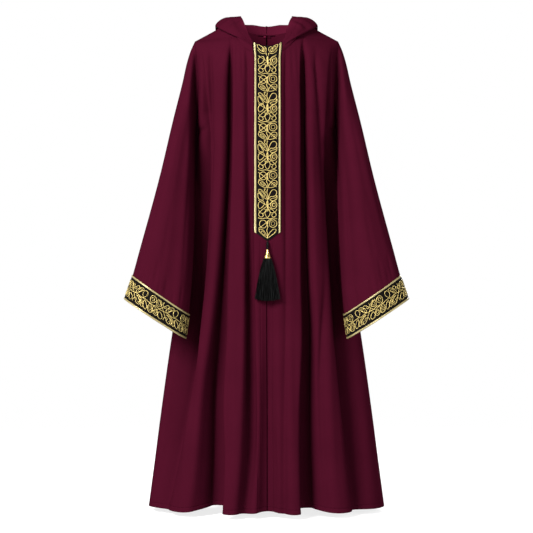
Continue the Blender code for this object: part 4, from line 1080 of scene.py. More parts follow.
def underarm_fill(x, drop):
    """Cloth that runs on from the armhole's depth down the side, in place of the step there."""
    reach = half_width(drop)
    cosine = np.sqrt(1 - np.clip(x / reach, -1, 1) ** 2)
    smooth = armhole_depth(FILL_START) * (1 - ease((drop - FILL_START) / (FILL_END - FILL_START)))
    fill_depth = np.where(drop > FILL_START, np.maximum(smooth - armhole_depth(drop), 0), 0)
    return fill_depth * (1 - cosine) * ease((reach - np.abs(x)) / FILL_EDGE)


def side_fullness(x, drop):
    """How far the cloth's side stands out between the underarm and the hip."""
    share = np.abs(x) / half_width(drop)
    rise = ease((drop - UNDERARM) / SIDE_FULL_RISE)
    fall = ease((SIDE_FULL_END - drop) / SIDE_FULL_FALL)
    return SIDE_FULL * rise * fall * ease((share - SIDE_FULL_FROM) / (1 - SIDE_FULL_FROM))


def hem_lift(x, half):
    """How far the hem is drawn up in its folds: a share of their depth, spread by a soft bell."""
    reach = half_width(HEM_DROP)
    along = np.linspace(-reach, reach, HEM_SAMPLES)
    fold = body_point(along, np.full(HEM_SAMPLES, HEM_DROP), half)[1]
    away = np.arange(-HEM_BELL, HEM_BELL + 1) * (along[1] - along[0])
    weight = bell(away / HEM_SPREAD)
    spread = np.convolve(np.pad(fold, HEM_BELL, mode="edge"), weight / weight.sum(), "valid")
    return HEM_LIFT_SHOWN * np.interp(x, along, spread)


def crease_share(x, drop, depth, half):
    """How much of the small creases shows: none at the neck, the side, the placket, deep folds."""
    reach = half_width(drop)
    share = ease((1 - np.abs(x) / reach) / CREASE_SIDE) * ease((drop - CREASE_TOP) / CREASE_TOP_SPAN)
    share = share * ease(1 - depth / CREASE_FOLD)
    if half < 0:
        beside = np.abs(x - PLACKET_X) - placket_half_width(drop)
        below = drop - PLACKET_POINT
        share = share * np.maximum(ease(beside / CREASE_PLACKET), ease(below / CREASE_POINT))
    return share


def grooves(x, drop, from_hem, half):
    """Depth of the pressed middle seam and of the furrows that stitched lines lie in, as bells."""
    depth = SEAM_DEPTH * bell(x / SEAM_WIDTH)
    if half < 0:
        beside = np.abs(x) - TOPSTITCH_X
        depth = depth + GROOVE_DEPTH * bell(beside / GROOVE_WIDTH)
        depth = depth * ease((drop - PLACKET_POINT) / FRONT_SEAM_TAPER)
    else:
        depth = depth * ease((drop - SLIT_DROP) / BACK_SEAM_TAPER)
    return depth + GROOVE_DEPTH * bell((from_hem - HEM_STITCH) / GROOVE_WIDTH)


def extra_depth(x, drop, depth, half):
    """How much deeper the shown folds are than the solids', a little less near the hem."""
    reach = half_width(drop)
    extra = FOLD_EXTRA * (1 - bell(depth / FOLD_EXTRA_FROM))
    growth = ease((drop - FOLD_START) / (FOLD_FULL - FOLD_START)) * ease((reach - np.abs(x)) / CORE_EDGE)
    extra = extra + growth * fold_cores(FRONT_FOLDS if half < 0 else BACK_FOLDS, x, drop)
    return np.minimum(extra, DEEPER_MOST) * (1 - DEEPER_HEM * ease((drop - HEM_FADE_DROP) / HEM_FADE_SPAN))


@functools.cache
def fine_panel(side, half):
    """A shown panel's outer points and wall directions, then its places across and its drops.

    The points are the solid's section and folds, moved in along the wall by the creases, grooves
    and extra depth, with the underarm filled out and the furrow at the sleeve sunk in.
    """
    x, drop = panel_drops(side, half)
    rows, columns = panel_rows(), panel_steps(x.shape[1])
    x, drop = between(x, rows, columns), between(drop, rows, columns)
    normals = unit(between(coarse_panel(side, half)[1], rows, columns))
    wide = half_width(drop[:, -1]) / np.abs(x[:, -1]) - 1
    x = x * (1 + wide[:, None] * (x / x[:, -1:]) ** EDGE_POWER)
    from_hem = drop[-1] - drop
    last = np.clip(rows - rows[-1] + 1, 0, 1)
    drop = drop - hem_lift(x[-1], half) * last[:, None]
    points, depth = body_point(x, drop, half)
    creases = FRONT_CREASES if half < 0 else BACK_CREASES
    small = creases_at(creases, x / MM, drop / MM) * MM + cloth_waves(x, drop)
    small = small * crease_share(x, drop, depth, half) + grooves(x, drop, from_hem, half)
    points = points - normals * (small + extra_depth(x, drop, depth, half))[..., None]
    points[..., 1] += half * underarm_fill(x, drop)
    points = sunk(points)
    points[..., 0] += side * side_fullness(x, drop)
    return seam_gaps(points, drop, side, half, SEWN_GAP), normals, x, drop


# Sleeves


def sleeve_oval(along, angle, fold):
    """Points of the oval between a sleeve's outer and inner edge, its depth less the folds."""
    outer_drop = curve(ALONG, OUTER_DROP_ALONG, along)
    inner_drop = curve(ALONG, INNER_DROP_ALONG, along)
    outer_x = curve(OUTER_DROP, OUTER_X, outer_drop)
    inner_x = curve(INNER_DROP, INNER_X, inner_drop)
    deep = curve(ALONG, RING_DEPTH, along)
    x = (outer_x + inner_x) / 2 + (outer_x - inner_x) / 2 * np.cos(angle)
    drop = (outer_drop + inner_drop) / 2 + (outer_drop - inner_drop) / 2 * np.cos(angle)
    y = curve(ALONG, MIDDLE_Y, along) - np.sin(angle) * (deep - fold)
    return np.stack([x, y, -drop], -1)


def sleeve_ring(side, along, turn):
    """Outer points of a sleeve: ovals from the armhole, 0, to the cuff's edge, 1.

    Turn runs round the ring, 0 at the outer edge, 0.25 at the front, 0.5 at the inner edge. The
    first rings are pulled onto the armhole itself.
    """
    along, turn = np.broadcast_arrays(np.asarray(along, float), np.asarray(turn, float))
    angle = turn * 2 * math.pi
    fold = np.zeros_like(along)
    for start, end, width, top, mid, low in SLEEVE_FOLDS[side]:
        centre = start + (end - start) * along
        away = (turn - centre + 0.5) % 1 - 0.5
        depth = curve([0, 0.5, 1], np.array([top, mid, low]) * MM, along)
        fold = fold + depth * bell(away / width)
    fold = fold * ease(along / SLEEVE_FOLDS_IN)
    points = sleeve_oval(along, angle, fold)
    arm_middle = (TIP_DROP + UNDERARM) / 2
    arm_half = (UNDERARM - TIP_DROP) / 2
    arm_drop = arm_middle - arm_half * np.cos(angle)
    arm_x = half_width(arm_drop)
    arm_y = curve(SECTION_DROP, SIDE_Y, arm_drop) - ARMHOLE_DEPTH * np.sin(angle)
    armhole = np.stack([arm_x, arm_y, -arm_drop], -1)
    first = sleeve_oval(np.zeros_like(along), angle, 0)
    points = points + (armhole - first) * (1 - ease(along / SLEEVE_JOIN))[..., None]
    points[..., 0] += SLEEVE_GAP
    return points * np.array([side, 1, 1])


def sleeve_place(side, along, turn):
    """Points and outward normals of a sleeve at these places along and round it."""
    along, turn = np.broadcast_arrays(np.asarray(along, float), np.asarray(turn, float))
    points = sleeve_ring(side, along, turn)
    step = SLOPE_STEP
    inside = np.clip(along, step, 1 - step)
    down = sleeve_ring(side, inside + step, turn) - sleeve_ring(side, inside - step, turn)
    aside = sleeve_ring(side, inside, turn + step) - sleeve_ring(side, inside, turn - step)
    return points, unit(np.cross(aside, down)) * side


def fine_sleeve(side):
    """Outer points and normals of a sleeve, moved in by its small creases and a slow ripple."""
    along = np.unique(np.concatenate([np.linspace(0, 1, SLEEVE_RINGS), [CUFF_START]]))[:, None]
    turn = np.arange(SLEEVE_TURNS)[None, :] / SLEEVE_TURNS
    points, normals = sleeve_place(side, along, turn)
    small = creases_at(SLEEVE_CREASES, turn + SLEEVE_SHIFT * side, along) * MM
    ripple = RIPPLE_TURNS * 2 * math.pi * turn + RIPPLE_LEAN * along + side
    small = small + SLEEVE_RIPPLE * np.sin(ripple)
    shown = ease(along / RIPPLE_IN) * ease((CUFF_START + RIPPLE_PAST - along) / RIPPLE_OUT)
    points = sunk(points - normals * (small * shown)[..., None])
    normals[0, :, 0] = 0
    return points, unit(normals)


# Hood


def neck_edge(side):
    """The neck edge of one half, from beside the placket past the shoulder to the centre back."""
    front, back = coarse_panel(side, -1)[0], coarse_panel(side, 1)[0]
    start = len(PLACKET_SHARES)
    ahead = front[0, start : start + sum(FRONT_STEPS[:2]) + 1].copy()
    ahead[0, 0] += side * 2 * SEAM_GAP
    behind = back[0, :NECK_COLUMNS][::-1]
    return np.concatenate([ahead, behind])


def rest_on_body(points, clear):
    """The same points, each moved out along the nearest normal of the body until it is clear."""
    reach = np.linspace(-SAMPLE_REACH, SAMPLE_REACH, BODY_SAMPLES)
    x, t = np.meshgrid(reach, np.linspace(-1, 1, BODY_SAMPLES), indexing="ij")
    drop = -shoulder_height(x) + SAMPLE_FALL * t**2
    ahead = body_point(x, drop, -1)[0]
    behind = body_point(x, drop, 1)[0]
    surface = np.where((t < 0)[..., None], ahead, behind)
    facing = grid_normals(surface, False)
    facing *= -np.sign(facing[BODY_SAMPLES // 2, 0, 1])
    front_neck = curve(FRONT_NECK_X, FRONT_NECK_Z, np.abs(x))
    back_neck = curve(BACK_NECK_X, BACK_NECK_Z, np.abs(x))
    there = (np.abs(x) > NECK_X) | (surface[..., 2] < np.where(t < 0, front_neck, back_neck))
    surface = surface[there]
    facing = facing[there]
    flat = points.reshape(-1, 3)
    squared = np.sum(flat**2, 1)[:, None] + np.sum(surface**2, 1)[None] - 2 * flat @ surface.T
    nearest = np.argmin(squared, axis=1)
    away = flat - surface[nearest]
    outward = facing[nearest]
    height = np.sum(away * outward, axis=1)
    aside = np.linalg.norm(away - height[:, None] * outward, axis=1)
    gap = clear.reshape(-1)
    lift = np.where((height < gap) & (aside < SAMPLE_NEAR), gap - height, 0)
    return (flat + outward * lift[:, None]).reshape(points.shape)


def on_body(x, z, off, half):
    """Points this far off the body's front or back, at these places across and heights."""
    ahead = body_point(x, -z, -1)[0]
    behind = body_point(x, -z, 1)[0]
    surface = np.where((half < 0)[:, None], ahead, behind)
    return np.stack([x, surface[:, 1] + half * off, z], 1)


def coarse_hood(side):
    """The solid's own grid of half the hood, with its normals.

    Columns go round the neck from the placket to the centre back. Rows go from the neck seam up
    to the stand, under, round the low fold, and over to the face edge.
    """
    seam = neck_edge(side)
    table = np.array(list(HOOD_ROWS.values()), float) * MM
    stations = np.array(list(HOOD_ROWS))
    steps = np.linalg.norm(np.diff(seam, axis=0), axis=1)
    share = np.concatenate([[0], np.cumsum(steps)]) / steps.sum()
    row = curve(stations, table, share)
    shift = PLACKET_X * side * ease(1 - share / PLACKET_FOLLOWED)
    half = np.where(share < SHOULDER_STATION, -1, 1)
    first = seam + np.array([0, 0, HOOD_LIFT])
    first[-1, 0] = side * SEAM_GAP / 2
    stand = first + row[:, 0:3] * np.array([side, 1, 1])
    under = on_body(side * (row[:, 3] + shift), row[:, 4], row[:, 5], half)
    low = on_body(side * (row[:, 6] + shift), row[:, 7], row[:, 8], half)
    over, edge = (
        np.stack([side * (row[:, at] + shift), row[:, at + 1], row[:, at + 2]], 1) for at in (9, 12)
    )
    weight = ease((share - FOLD_FROM) / (FOLD_WHOLE - FOLD_FROM))[:, None]
    rise = low - first
    bulge = np.array([0, -ROLL_BULGE, 0]) * (1 - weight)
    rolled = [first + rise * up + bulge * out for up, out in zip(ROLL_RISE, ROLL_BULGES)]
    stand += (rolled[0] - stand) * (1 - weight)
    under += (rolled[1] - under) * (1 - weight)
    out = unit(low - (under + over) / 2)
    forward = np.array([0, -FOLD_FORWARD, 0]) * (1 - ease(share / SHOULDER_STATION))[:, None]
    across = over - under + forward
    across = unit(across - out * np.sum(across * out, axis=1, keepdims=True))
    below = rolled[2]
    below += (low - (out + across) * FOLD_ROUND - below) * weight
    above = low + (over - low) * ROLL_OVER[0]
    above += bulge * ROLL_OVER[1] * ease(share / FOLD_FROM)[:, None]
    above += (low - (out - across) * FOLD_ROUND - above) * weight
    profile = np.stack([first, stand, under, below, low, above, over, edge], axis=1)
    profile[-1, :, 0] = side * SEAM_GAP / 2
    down = np.array(HOOD_DOWN)
    points = np.stack([curve(HOOD_SHARES, column, down) for column in profile], axis=1)
    clear = curve(HOOD_SHARES, HOOD_CLEAR, down)[:, None] * weight[:, 0]
    points = rest_on_body(points, clear)
    points[:, -1, 0] = side * SEAM_GAP / 2
    normals = grid_normals(points, False)
    rising = normals[1, len(seam) // 2]
    normals *= side * np.sign(rising[0])
    normals[1:-1] = unit(normals[:-2] + 2 * normals[1:-1] + normals[2:])
    normals[:, -1, 0] = 0
    normals[:, 0, 0] = 0
    normals[0, :, 2] = 0
    return points, unit(normals), share


@functools.cache
def fine_hood(side):
    """Half the hood: a smooth cubic through the solid's own points, both ways, with creases.

    Returns outer points, wall directions and the share up the cloth of each row.
    """
    points, normals, share = coarse_hood(side)
    rows, columns = (finer(count, HOOD_CUTS) for count in points.shape[:2])
    up = np.interp(rows, np.arange(points.shape[0]), HOOD_DOWN)[:, None]
    round_neck = np.interp(columns, np.arange(len(share)), share)[None, :]
    points = through(points, rows, columns)
    normals = unit(between(normals, rows, columns))
    from_middle = 1 - round_neck
    small = creases_at(HOOD_CREASES, round_neck, up) * MM * ease(from_middle / HOOD_SEAM_CLEAR)
    seam = bell(from_middle / HOOD_SEAM_WIDTH) * ease(up / HOOD_SEAM_START)
    lip = bell((up - HOOD_LOW) / LIP_WIDTH) * ease(round_neck / LIP_START)
    lip = lip * ease((LIP_END - round_neck) / LIP_FALL)
    hem = bell((up - HOOD_HEM) / HOOD_HEM_WIDTH)
    small = small + HOOD_SEAM_DEPTH * seam - HOOD_LIP * lip + GROOVE_DEPTH * hem
    points = points - normals * small[..., None]
    points[:, -1, 0] = SEAM_X + side * SEWN_GAP / 2
    return points, normals, up


def through(grid, rows, columns):
    """A grid of points read at fractional rows and columns on a smooth cubic both ways."""
    count_rows, count_columns = grid.shape[:2]
    table = curve(np.arange(count_rows), grid.reshape(count_rows, -1), rows)
    table = table.reshape(len(rows), count_columns, 3).transpose(1, 0, 2)
    table = curve(np.arange(count_columns), table.reshape(count_columns, -1), columns)
    return table.reshape(len(columns), len(rows), 3).transpose(1, 0, 2)


# Meshes


def make_piece(name, points, faces, uv, spots, finish, replaced=()):
    """A smooth mesh object that rides on the garment, from faces given as lists of numbers.

    Spots says which place of the UV map each corner has, in the order of the faces' corners.
    """
    mesh = bpy.data.meshes.new(name)
    mesh.from_pydata(points.tolist(), [], faces)
    layer = mesh.uv_layers.new(name="UVMap")
    layer.data.foreach_set("uv", uv[spots.ravel()].ravel())
    mesh.materials.append(finish)
    mesh.shade_smooth()
    mesh.set_sharp_from_angle(angle=SHARP_ANGLE)
    item = bpy.data.objects.new(name, mesh)
    bpy.context.scene.collection.objects.link(item)
    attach(item, "root")
    if replaced:
        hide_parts(*replaced)
    return item


def grid_numbers(rows, columns, around=True):
    """Point numbers of a grid and of its UV map; one closed round ends on its first column."""
    number = np.arange(rows * columns).reshape(rows, columns)
    if around:
        number = np.concatenate([number, number[:, :1]], axis=1)
    return number, np.arange(number.size).reshape(number.shape)


def quads(numbers):
    """Four-cornered faces between the neighbours of a grid of numbers."""
    corners = [numbers[:-1, :-1], numbers[:-1, 1:], numbers[1:, 1:], numbers[1:, :-1]]
    return np.stack(corners, -1).reshape(-1, 4)


def facing_out(points, faces, normals):
    """True if the faces turn the way of the normals at their first corners."""
    a, b, d = points[faces[:, 0]], points[faces[:, 1]], points[faces[:, 3]]
    return np.sum(np.cross(b - a, d - a) * normals[faces[:, 0]]) > 0


def wall(name, outer, normals, thickness, finish, replaced=(), around=False):
    """A closed wall: the outer grid, the same grid moved in along its normals, and its rims.

    The UV map is the distance in metres along the columns and down the rows.
    """
    rows, columns = outer.shape[:2]
    closed = np.concatenate([outer, outer[:, :1]], axis=1) if around else outer
    across = np.linalg.norm(np.diff(closed, axis=1), axis=2).mean(axis=0)
    down = np.linalg.norm(np.diff(closed, axis=0), axis=2).mean(axis=1)
    u, v = np.meshgrid(np.append(0, np.cumsum(across)), np.append(0, np.cumsum(down)))
    uv = np.stack([u, v], -1).reshape(-1, 2)
    shift = rows * columns
    number, place = grid_numbers(rows, columns, around)
    points = outer.reshape(-1, 3)
    if not facing_out(points, quads(number), normals.reshape(-1, 3)):
        number, place = number[:, ::-1], place[:, ::-1]
    face, spot = quads(number), quads(place)
    faces = [face, face[:, ::-1] + shift]
    spots = [spot, spot[:, ::-1]]
    rims = [(number[0], place[0]), (number[-1][::-1], place[-1][::-1])]
    if not around:
        rims += [(number[::-1, 0], place[::-1, 0]), (number[:, -1], place[:, -1])]
    for rim, rim_spots in rims:
        faces.append(np.stack([rim[1:], rim[:-1], rim[:-1] + shift, rim[1:] + shift], 1))
        spots.append(np.stack([rim_spots[1:], rim_spots[:-1], rim_spots[:-1], rim_spots[1:]], 1))
    points = np.concatenate([points, points - normals.reshape(-1, 3) * thickness])
    faces, spots = np.concatenate(faces).tolist(), np.concatenate(spots)
    return make_piece(name, points, faces, uv, spots, finish, replaced)


def tubes(name, centres, ups, radii, finish, replaced=(), ring=6, flat=1.0):
    """Round cords along many paths at once, each ring of points square to its path.

    Centres and ups have a row for each path. A ring's point is the centre, plus the radius times
    cosine of its angle sideways, plus the radius times sine of its angle up, times flat.
    """
    paths, samples = centres.shape[:2]
    tangents = unit(np.gradient(centres, axis=1))
    sides = unit(np.cross(tangents, ups))
    ups = np.cross(sides, tangents)
    angles = np.arange(ring) * 2 * math.pi / ring
    radii = np.broadcast_to(radii, (paths, samples))[..., None, None]
    sideways = sides[:, :, None] * np.cos(angles)[:, None]
    upwards = ups[:, :, None] * np.sin(angles)[:, None] * flat
    points = centres[:, :, None] + (sideways + upwards) * radii
    lengths = np.linalg.norm(np.diff(centres, axis=1), axis=2)
    lengths = np.concatenate([np.zeros((paths, 1)), np.cumsum(lengths, axis=1)], axis=1)
    uv = np.stack(np.broadcast_arrays(lengths[:, :, None], np.arange(ring + 1) / ring), -1)
    numbers = grid_numbers(paths * samples, ring)
    number, place = (table.reshape(paths, samples, ring + 1) for table in numbers)
    faces = np.concatenate([quads(table) for table in number])
    spots = np.concatenate([quads(table) for table in place])
    flat_points = points.reshape(-1, 3)
    out = unit(points - centres[:, :, None]).reshape(-1, 3)
    if not facing_out(flat_points, faces, out):
        faces, spots = faces[:, ::-1], spots[:, ::-1]
    ends, end_spots = end_caps(number, place)
    faces = faces.tolist() + ends
    spots = np.concatenate([spots.ravel(), end_spots])
    return make_piece(name, flat_points, faces, uv.reshape(-1, 2), spots, finish, replaced)


def through_line(path, share):
    """Points at these shares of the way along a path."""
    return curve(np.linspace(0, 1, len(path)), path, share)


def end_caps(number, place):
    """Faces that close both ends of every tube, and their places in the UV map."""
    faces, spots = [], []
    for end, step in ((0, 1), (-1, -1)):
        faces += number[:, end, :-1][:, ::step].tolist()
        spots.append(place[:, end, :-1][:, ::step].ravel())
    return faces, np.concatenate(spots)


def turned(name, profile, middle, lean, finish, replaced=(), segments=48):
    """A piece spun from rows of radius and height, its axis leaning forward as it goes down.

    A point is the axis at its height, plus the radius times the cosine and sine of its angle.
    """
    angles = np.arange(segments) * 2 * math.pi / segments
    ring = np.stack([np.cos(angles), np.sin(angles), np.zeros(segments)], 1)
    axis = np.stack([np.zeros(len(profile)), lean * profile[:, 1], profile[:, 1]], 1)
    points = middle + axis[:, None] + ring[None] * profile[:, 0][:, None, None]
    points = points.reshape(-1, 3)
    u, v = np.meshgrid(np.arange(segments + 1) / segments, np.arange(len(profile)) / len(profile))
    uv = np.stack([u, v], -1).reshape(-1, 2)
    faces, spots = (quads(table) for table in grid_numbers(len(profile), segments))
    keep = np.linalg.norm(points[faces[:, 0]] - points[faces[:, 1]], axis=1) > TINY
    keep |= np.linalg.norm(points[faces[:, 2]] - points[faces[:, 3]], axis=1) > TINY
    return make_piece(name, points, faces[keep].tolist(), uv, spots[keep], finish, replaced)


def cut_size(points):
    """A cloth's cut: its greatest width across, greatest length down, and area, in metres."""
    across = np.linalg.norm(np.diff(points, axis=1), axis=2)
    down = np.linalg.norm(np.diff(points, axis=0), axis=2)
    one = np.cross(points[1:, 1:] - points[:-1, :-1], points[1:, :-1] - points[:-1, 1:])
    area = float(np.linalg.norm(one, axis=2).sum() / 2)
    return round(float(across.sum(axis=1).max()), 3), round(float(down.sum(axis=0).max()), 3), area


def declare(points, around=False):
    """Measures the cut that a cloth piece shows, its width, length and area, which are not used further."""
    if around:
        points = np.concatenate([points, points[:, :1]], axis=1)
    width, length, area = cut_size(points)
    area = min(area, width * length)


# Materials


def new_finish(name, colour, roughness):
    """A Principled material and its node tree."""
    made = bpy.data.materials.new(name)
    made.use_nodes = True
    shader = made.node_tree.nodes["Principled BSDF"]
    shader.inputs["Base Color"].default_value = (*colour, 1)
    shader.inputs["Roughness"].default_value = roughness
    made.diffuse_color = (*colour, 1)
    return made, made.node_tree, shader


def fill(tree, socket, value):
    """Links an output into a socket, or sets the socket to a value."""
    if isinstance(value, bpy.types.NodeSocket):
        tree.links.new(value, socket)
    else:
        socket.default_value = value


def math_node(tree, operation, *values):
    """A Math node's output."""
    node = tree.nodes.new("ShaderNodeMath")
    node.operation = operation
    for socket, value in zip(node.inputs, values):
        fill(tree, socket, value)
    return node.outputs[0]


def coordinate(tree, kind):
    """Places on the piece in metres, or in its UV map."""
    return tree.nodes.new("ShaderNodeTexCoord").outputs[kind]


def parts_of(tree, vector):
    """The three numbers of a vector."""
    node = tree.nodes.new("ShaderNodeSeparateXYZ")
    tree.links.new(vector, node.inputs[0])
    return node.outputs


def scaled(tree, vector, by):
    """A vector with its three numbers multiplied."""
    node = tree.nodes.new("ShaderNodeVectorMath")
    node.operation = "MULTIPLY"
    tree.links.new(vector, node.inputs[0])
    node.inputs[1].default_value = by
    return node.outputs[0]


def ribs_of(tree, place, pitch):
    """A sine wave along a place, one wave for each pitch."""
    return math_node(tree, "SINE", math_node(tree, "MULTIPLY", place, 2 * math.pi / pitch))


def faded(tree, value, ends):
    """A value taken smoothly from one range to another."""
    node = tree.nodes.new("ShaderNodeMapRange")
    node.interpolation_type = "SMOOTHSTEP"
    fill(tree, node.inputs["Value"], value)
    for key, end in zip(("From Min", "From Max", "To Min", "To Max"), ends):
        node.inputs[key].default_value = end
    return node.outputs[0]


def set_inputs(shader, **values):
    """Sets a shader's inputs by their names, with an underscore for each space."""
    for key, value in values.items():
        shader.inputs[key.replace("_", " ")].default_value = value


def tinted(tree, shader, share, first, second):
    """A base colour that goes from one to another with a share."""
    node = tree.nodes.new("ShaderNodeMix")
    node.data_type = "RGBA"
    fill(tree, node.inputs[0], share)
    fill(tree, node.inputs[6], first)
    fill(tree, node.inputs[7], second)
    tree.links.new(node.outputs[2], shader.inputs["Base Color"])


def noise(tree, vector, scale, detail=2.0):
    """A noise pattern's value."""
    node = tree.nodes.new("ShaderNodeTexNoise")
    fill(tree, node.inputs["Vector"], vector)
    node.inputs["Scale"].default_value = scale
    node.inputs["Detail"].default_value = detail
    return node.outputs["Fac"]


def bump(tree, shader, height, strength, distance):
    """A bump from this height, read by the shader."""
    node = tree.nodes.new("ShaderNodeBump")
    node.inputs["Strength"].default_value = strength
    node.inputs["Distance"].default_value = distance
    tree.links.new(height, node.inputs["Height"])
    tree.links.new(node.outputs[0], shader.inputs["Normal"])


def toned(colour, factor):
    """A lighter or darker tone of a colour."""
    return tuple(min(c * factor, 1) for c in colour[:3]) + (1,)


def crepe_finish(cloth):
    """Wine crepe: pebbled threads, slow changes of tone, a soft sheen on its nap."""
    made, tree, shader = new_finish("crepe_cloth", cloth.colour, cloth.roughness)
    place = coordinate(tree, "Object")
    slow = math_node(tree, "MULTIPLY", noise(tree, place, TONE_SCALE, 3.0), 0.7)
    fine = noise(tree, place, GRAIN_SCALE)
    tone = math_node(tree, "ADD", slow, math_node(tree, "MULTIPLY", fine, 0.3))
    tinted(tree, shader, tone, toned(cloth.colour, 0.82), toned(cloth.colour, 1.18))
    set_inputs(shader, Sheen_Weight=cloth.sheen, Sheen_Roughness=0.45, Specular_IOR_Level=0.0)
    set_inputs(shader, Sheen_Tint=toned(cloth.colour, 6.0))
    pebbles = math_node(tree, "MULTIPLY", noise(tree, place, PEBBLE_SCALE), 0.6)
    bump(tree, shader, math_node(tree, "ADD", fine, pebbles), cloth.crepe, BUMP_HIGH)
    return made


def band_finish(bands):
    """Black twill ground of the bands: slanting ribs along the map, slightly brown in places."""
    made, tree, shader = new_finish("band_twill", bands.ground, 0.8)
    uv = coordinate(tree, "UV")
    along, across, _ = parts_of(tree, uv)
    ribs = ribs_of(tree, math_node(tree, "ADD", along, across), TWILL_PITCH)
    cross = math_node(tree, "MULTIPLY", ribs_of(tree, along, WEFT_PITCH), 0.4)
    worn = noise(tree, uv, 60.0, 3.0)
    tinted(tree, shader, worn, toned(bands.ground, 0.6), BAND_WORN)
    set_inputs(shader, Specular_IOR_Level=0.04)
    bump(tree, shader, math_node(tree, "ADD", ribs, cross), 0.35, BUMP_LOW)
    return made


def thread_finish(name, colour, roughness, metallic, twist, groove_shade):
    """Twisted thread: ribs that run slanting round the cord, with shade painted between them and their
    crests painted lighter.
    """
    made, tree, shader = new_finish(name, colour, roughness)
    set_inputs(shader, Metallic=metallic, Specular_IOR_Level=0.06 if metallic else 0.0)
    uv = coordinate(tree, "UV")
    length, turns, _ = parts_of(tree, uv)
    along = math_node(tree, "MULTIPLY", length, 2 * math.pi / twist)
    turn = math_node(tree, "MULTIPLY", turns, 2 * math.pi)
    ribs = math_node(tree, "SINE", math_node(tree, "ADD", along, turn))
    share = math_node(tree, "MULTIPLY_ADD", ribs, 0.5, 0.5)
    varied = math_node(tree, "MULTIPLY", noise(tree, uv, 220.0, 3.0), 0.6)
    share = math_node(tree, "ADD", math_node(tree, "MULTIPLY", share, 0.6), varied)
    # Painted shade in the grooves between the ribs, and painted light on their crests
    tinted(tree, shader, share, toned(colour, groove_shade), toned(colour, 1.2))
    bump(tree, shader, ribs, 0.5, BUMP_HIGH)
    return made


def silk_finish(tassel):
    """Black silk: painted highlights in upright streaks from strand to strand, the silk between them painted
    darker, and shining a little.
    """
    made, tree, shader = new_finish("silk_strands", tassel.colour, 0.45)
    highlight_streaks = noise(tree, scaled(tree, coordinate(tree, "Object"), (1, 1, 0.04)), HIGHLIGHT_STREAK_SCALE)
    share = math_node(tree, "MULTIPLY", math_node(tree, "SUBTRACT", highlight_streaks, 0.45), 7.0)
    # Lighter streaks are painted highlights, and the silk between them is painted darker
    tinted(tree, shader, share, toned(tassel.colour, 0.1), toned(tassel.colour, 3.0))
    set_inputs(shader, Specular_IOR_Level=0.05)
    return made


def braid_finish(bands):
    """Flat gold braid: satin stitches across it, a few of them duller."""
    made, tree, shader = new_finish("braid_satin", bands.braid, 0.38)
    set_inputs(shader, Metallic=0.35)
    uv = coordinate(tree, "UV")
    dull = noise(tree, uv, 90.0, 3.0)
    tinted(tree, shader, dull, toned(bands.braid, 0.80), toned(bands.braid, 1.12))
    bump(tree, shader, ribs_of(tree, parts_of(tree, uv)[1], SATIN_PITCH), 0.4, BUMP_LOW)
    return made


def metal_finish(tassel):
    """Polished pale gold with rubbed spots."""
    made, tree, shader = new_finish("cap_metal", tassel.cap_colour, 0.24)
    set_inputs(shader, Metallic=1.0)
    rubbed = noise(tree, coordinate(tree, "Object"), 400.0, 3.0)
    rough = math_node(tree, "MULTIPLY_ADD", rubbed, 0.25, 0.14)
    tree.links.new(rough, shader.inputs["Roughness"])
    bump(tree, shader, rubbed, 0.08, BUMP_LOW)
    return made


# Ornament


def smooth_line(points, closed, samples):
    """A smooth cubic through listed points, run on round past its ends if it closes."""
    points = np.array(points, float)
    count = len(points)
    if closed:
        points = np.concatenate([points[-2:], points, points[:3]])
        at = np.linspace(2, 2 + count, samples)
    else:
        at = np.linspace(0, count - 1, samples)
    return curve(np.arange(len(points)), points, at)


def chart_lines(chart, repeat, count, start):
    """All cords of a chart repeated along a band: their places in mm, thickness and order.

    A full-thickness loop that isn't in the middle height gets a thinner line inside it.
    """
    lines, thickness, order = [], [], []
    for number in range(count):
        shift = np.array(repeat) * number + np.array(start)
        for closed, share, level, points in chart:
            line = smooth_line(points, closed, CORD_SAMPLES)
            if closed and share == 1 and level != 1:
                middle = line[:-1].mean(axis=0)
                lines.append(middle + (line - middle) * INNER_LOOP + shift)
                thickness.append(INNER_THICKNESS)
                order.append((level + 1) % CORD_LEVELS)
            lines.append(line + shift)
            thickness.append(share)
            order.append(level)
    return np.array(lines), np.array(thickness), np.array(order)


def placket_cords():
    """The placket's cords: its top figure, the repeats that fit under it, and its point's figure."""
    corner = PLACKET_CORNER / MM
    first = chart_lines(TOP_CHART, (0, 0), 1, (0, CHART_DROP))
    middle = chart_lines(PLACKET_CHART, (0, PLACKET_REPEAT), CHART_REPEATS, (0, CHART_DROP))
    last = chart_lines(POINT_CHART, (0, 0), 1, (0, corner))
    drop = middle[0][..., 1]
    keep = drop.max(axis=1) < corner - POINT_CLEAR
    keep &= drop.min(axis=1) > CHART_DROP + TOP_CHART_DEPTH
    middle = [table[keep] for table in middle]
    return [np.concatenate(tables) for tables in zip(first, middle, last)]


def placket_place(x, drop):
    """Points and outward normals of the front under the placket, x from the placket's middle."""
    at = PLACKET_X + x
    points = body_point(at, drop, -1)[0]
    points[..., 1] -= SEAM_GAP / 2
    step = PLACE_STEP
    across = body_point(at + step, drop, -1)[0] - body_point(at - step, drop, -1)[0]
    down = body_point(at, drop + step, -1)[0] - body_point(at, drop - step, -1)[0]
    return points, unit(np.cross(down, across))


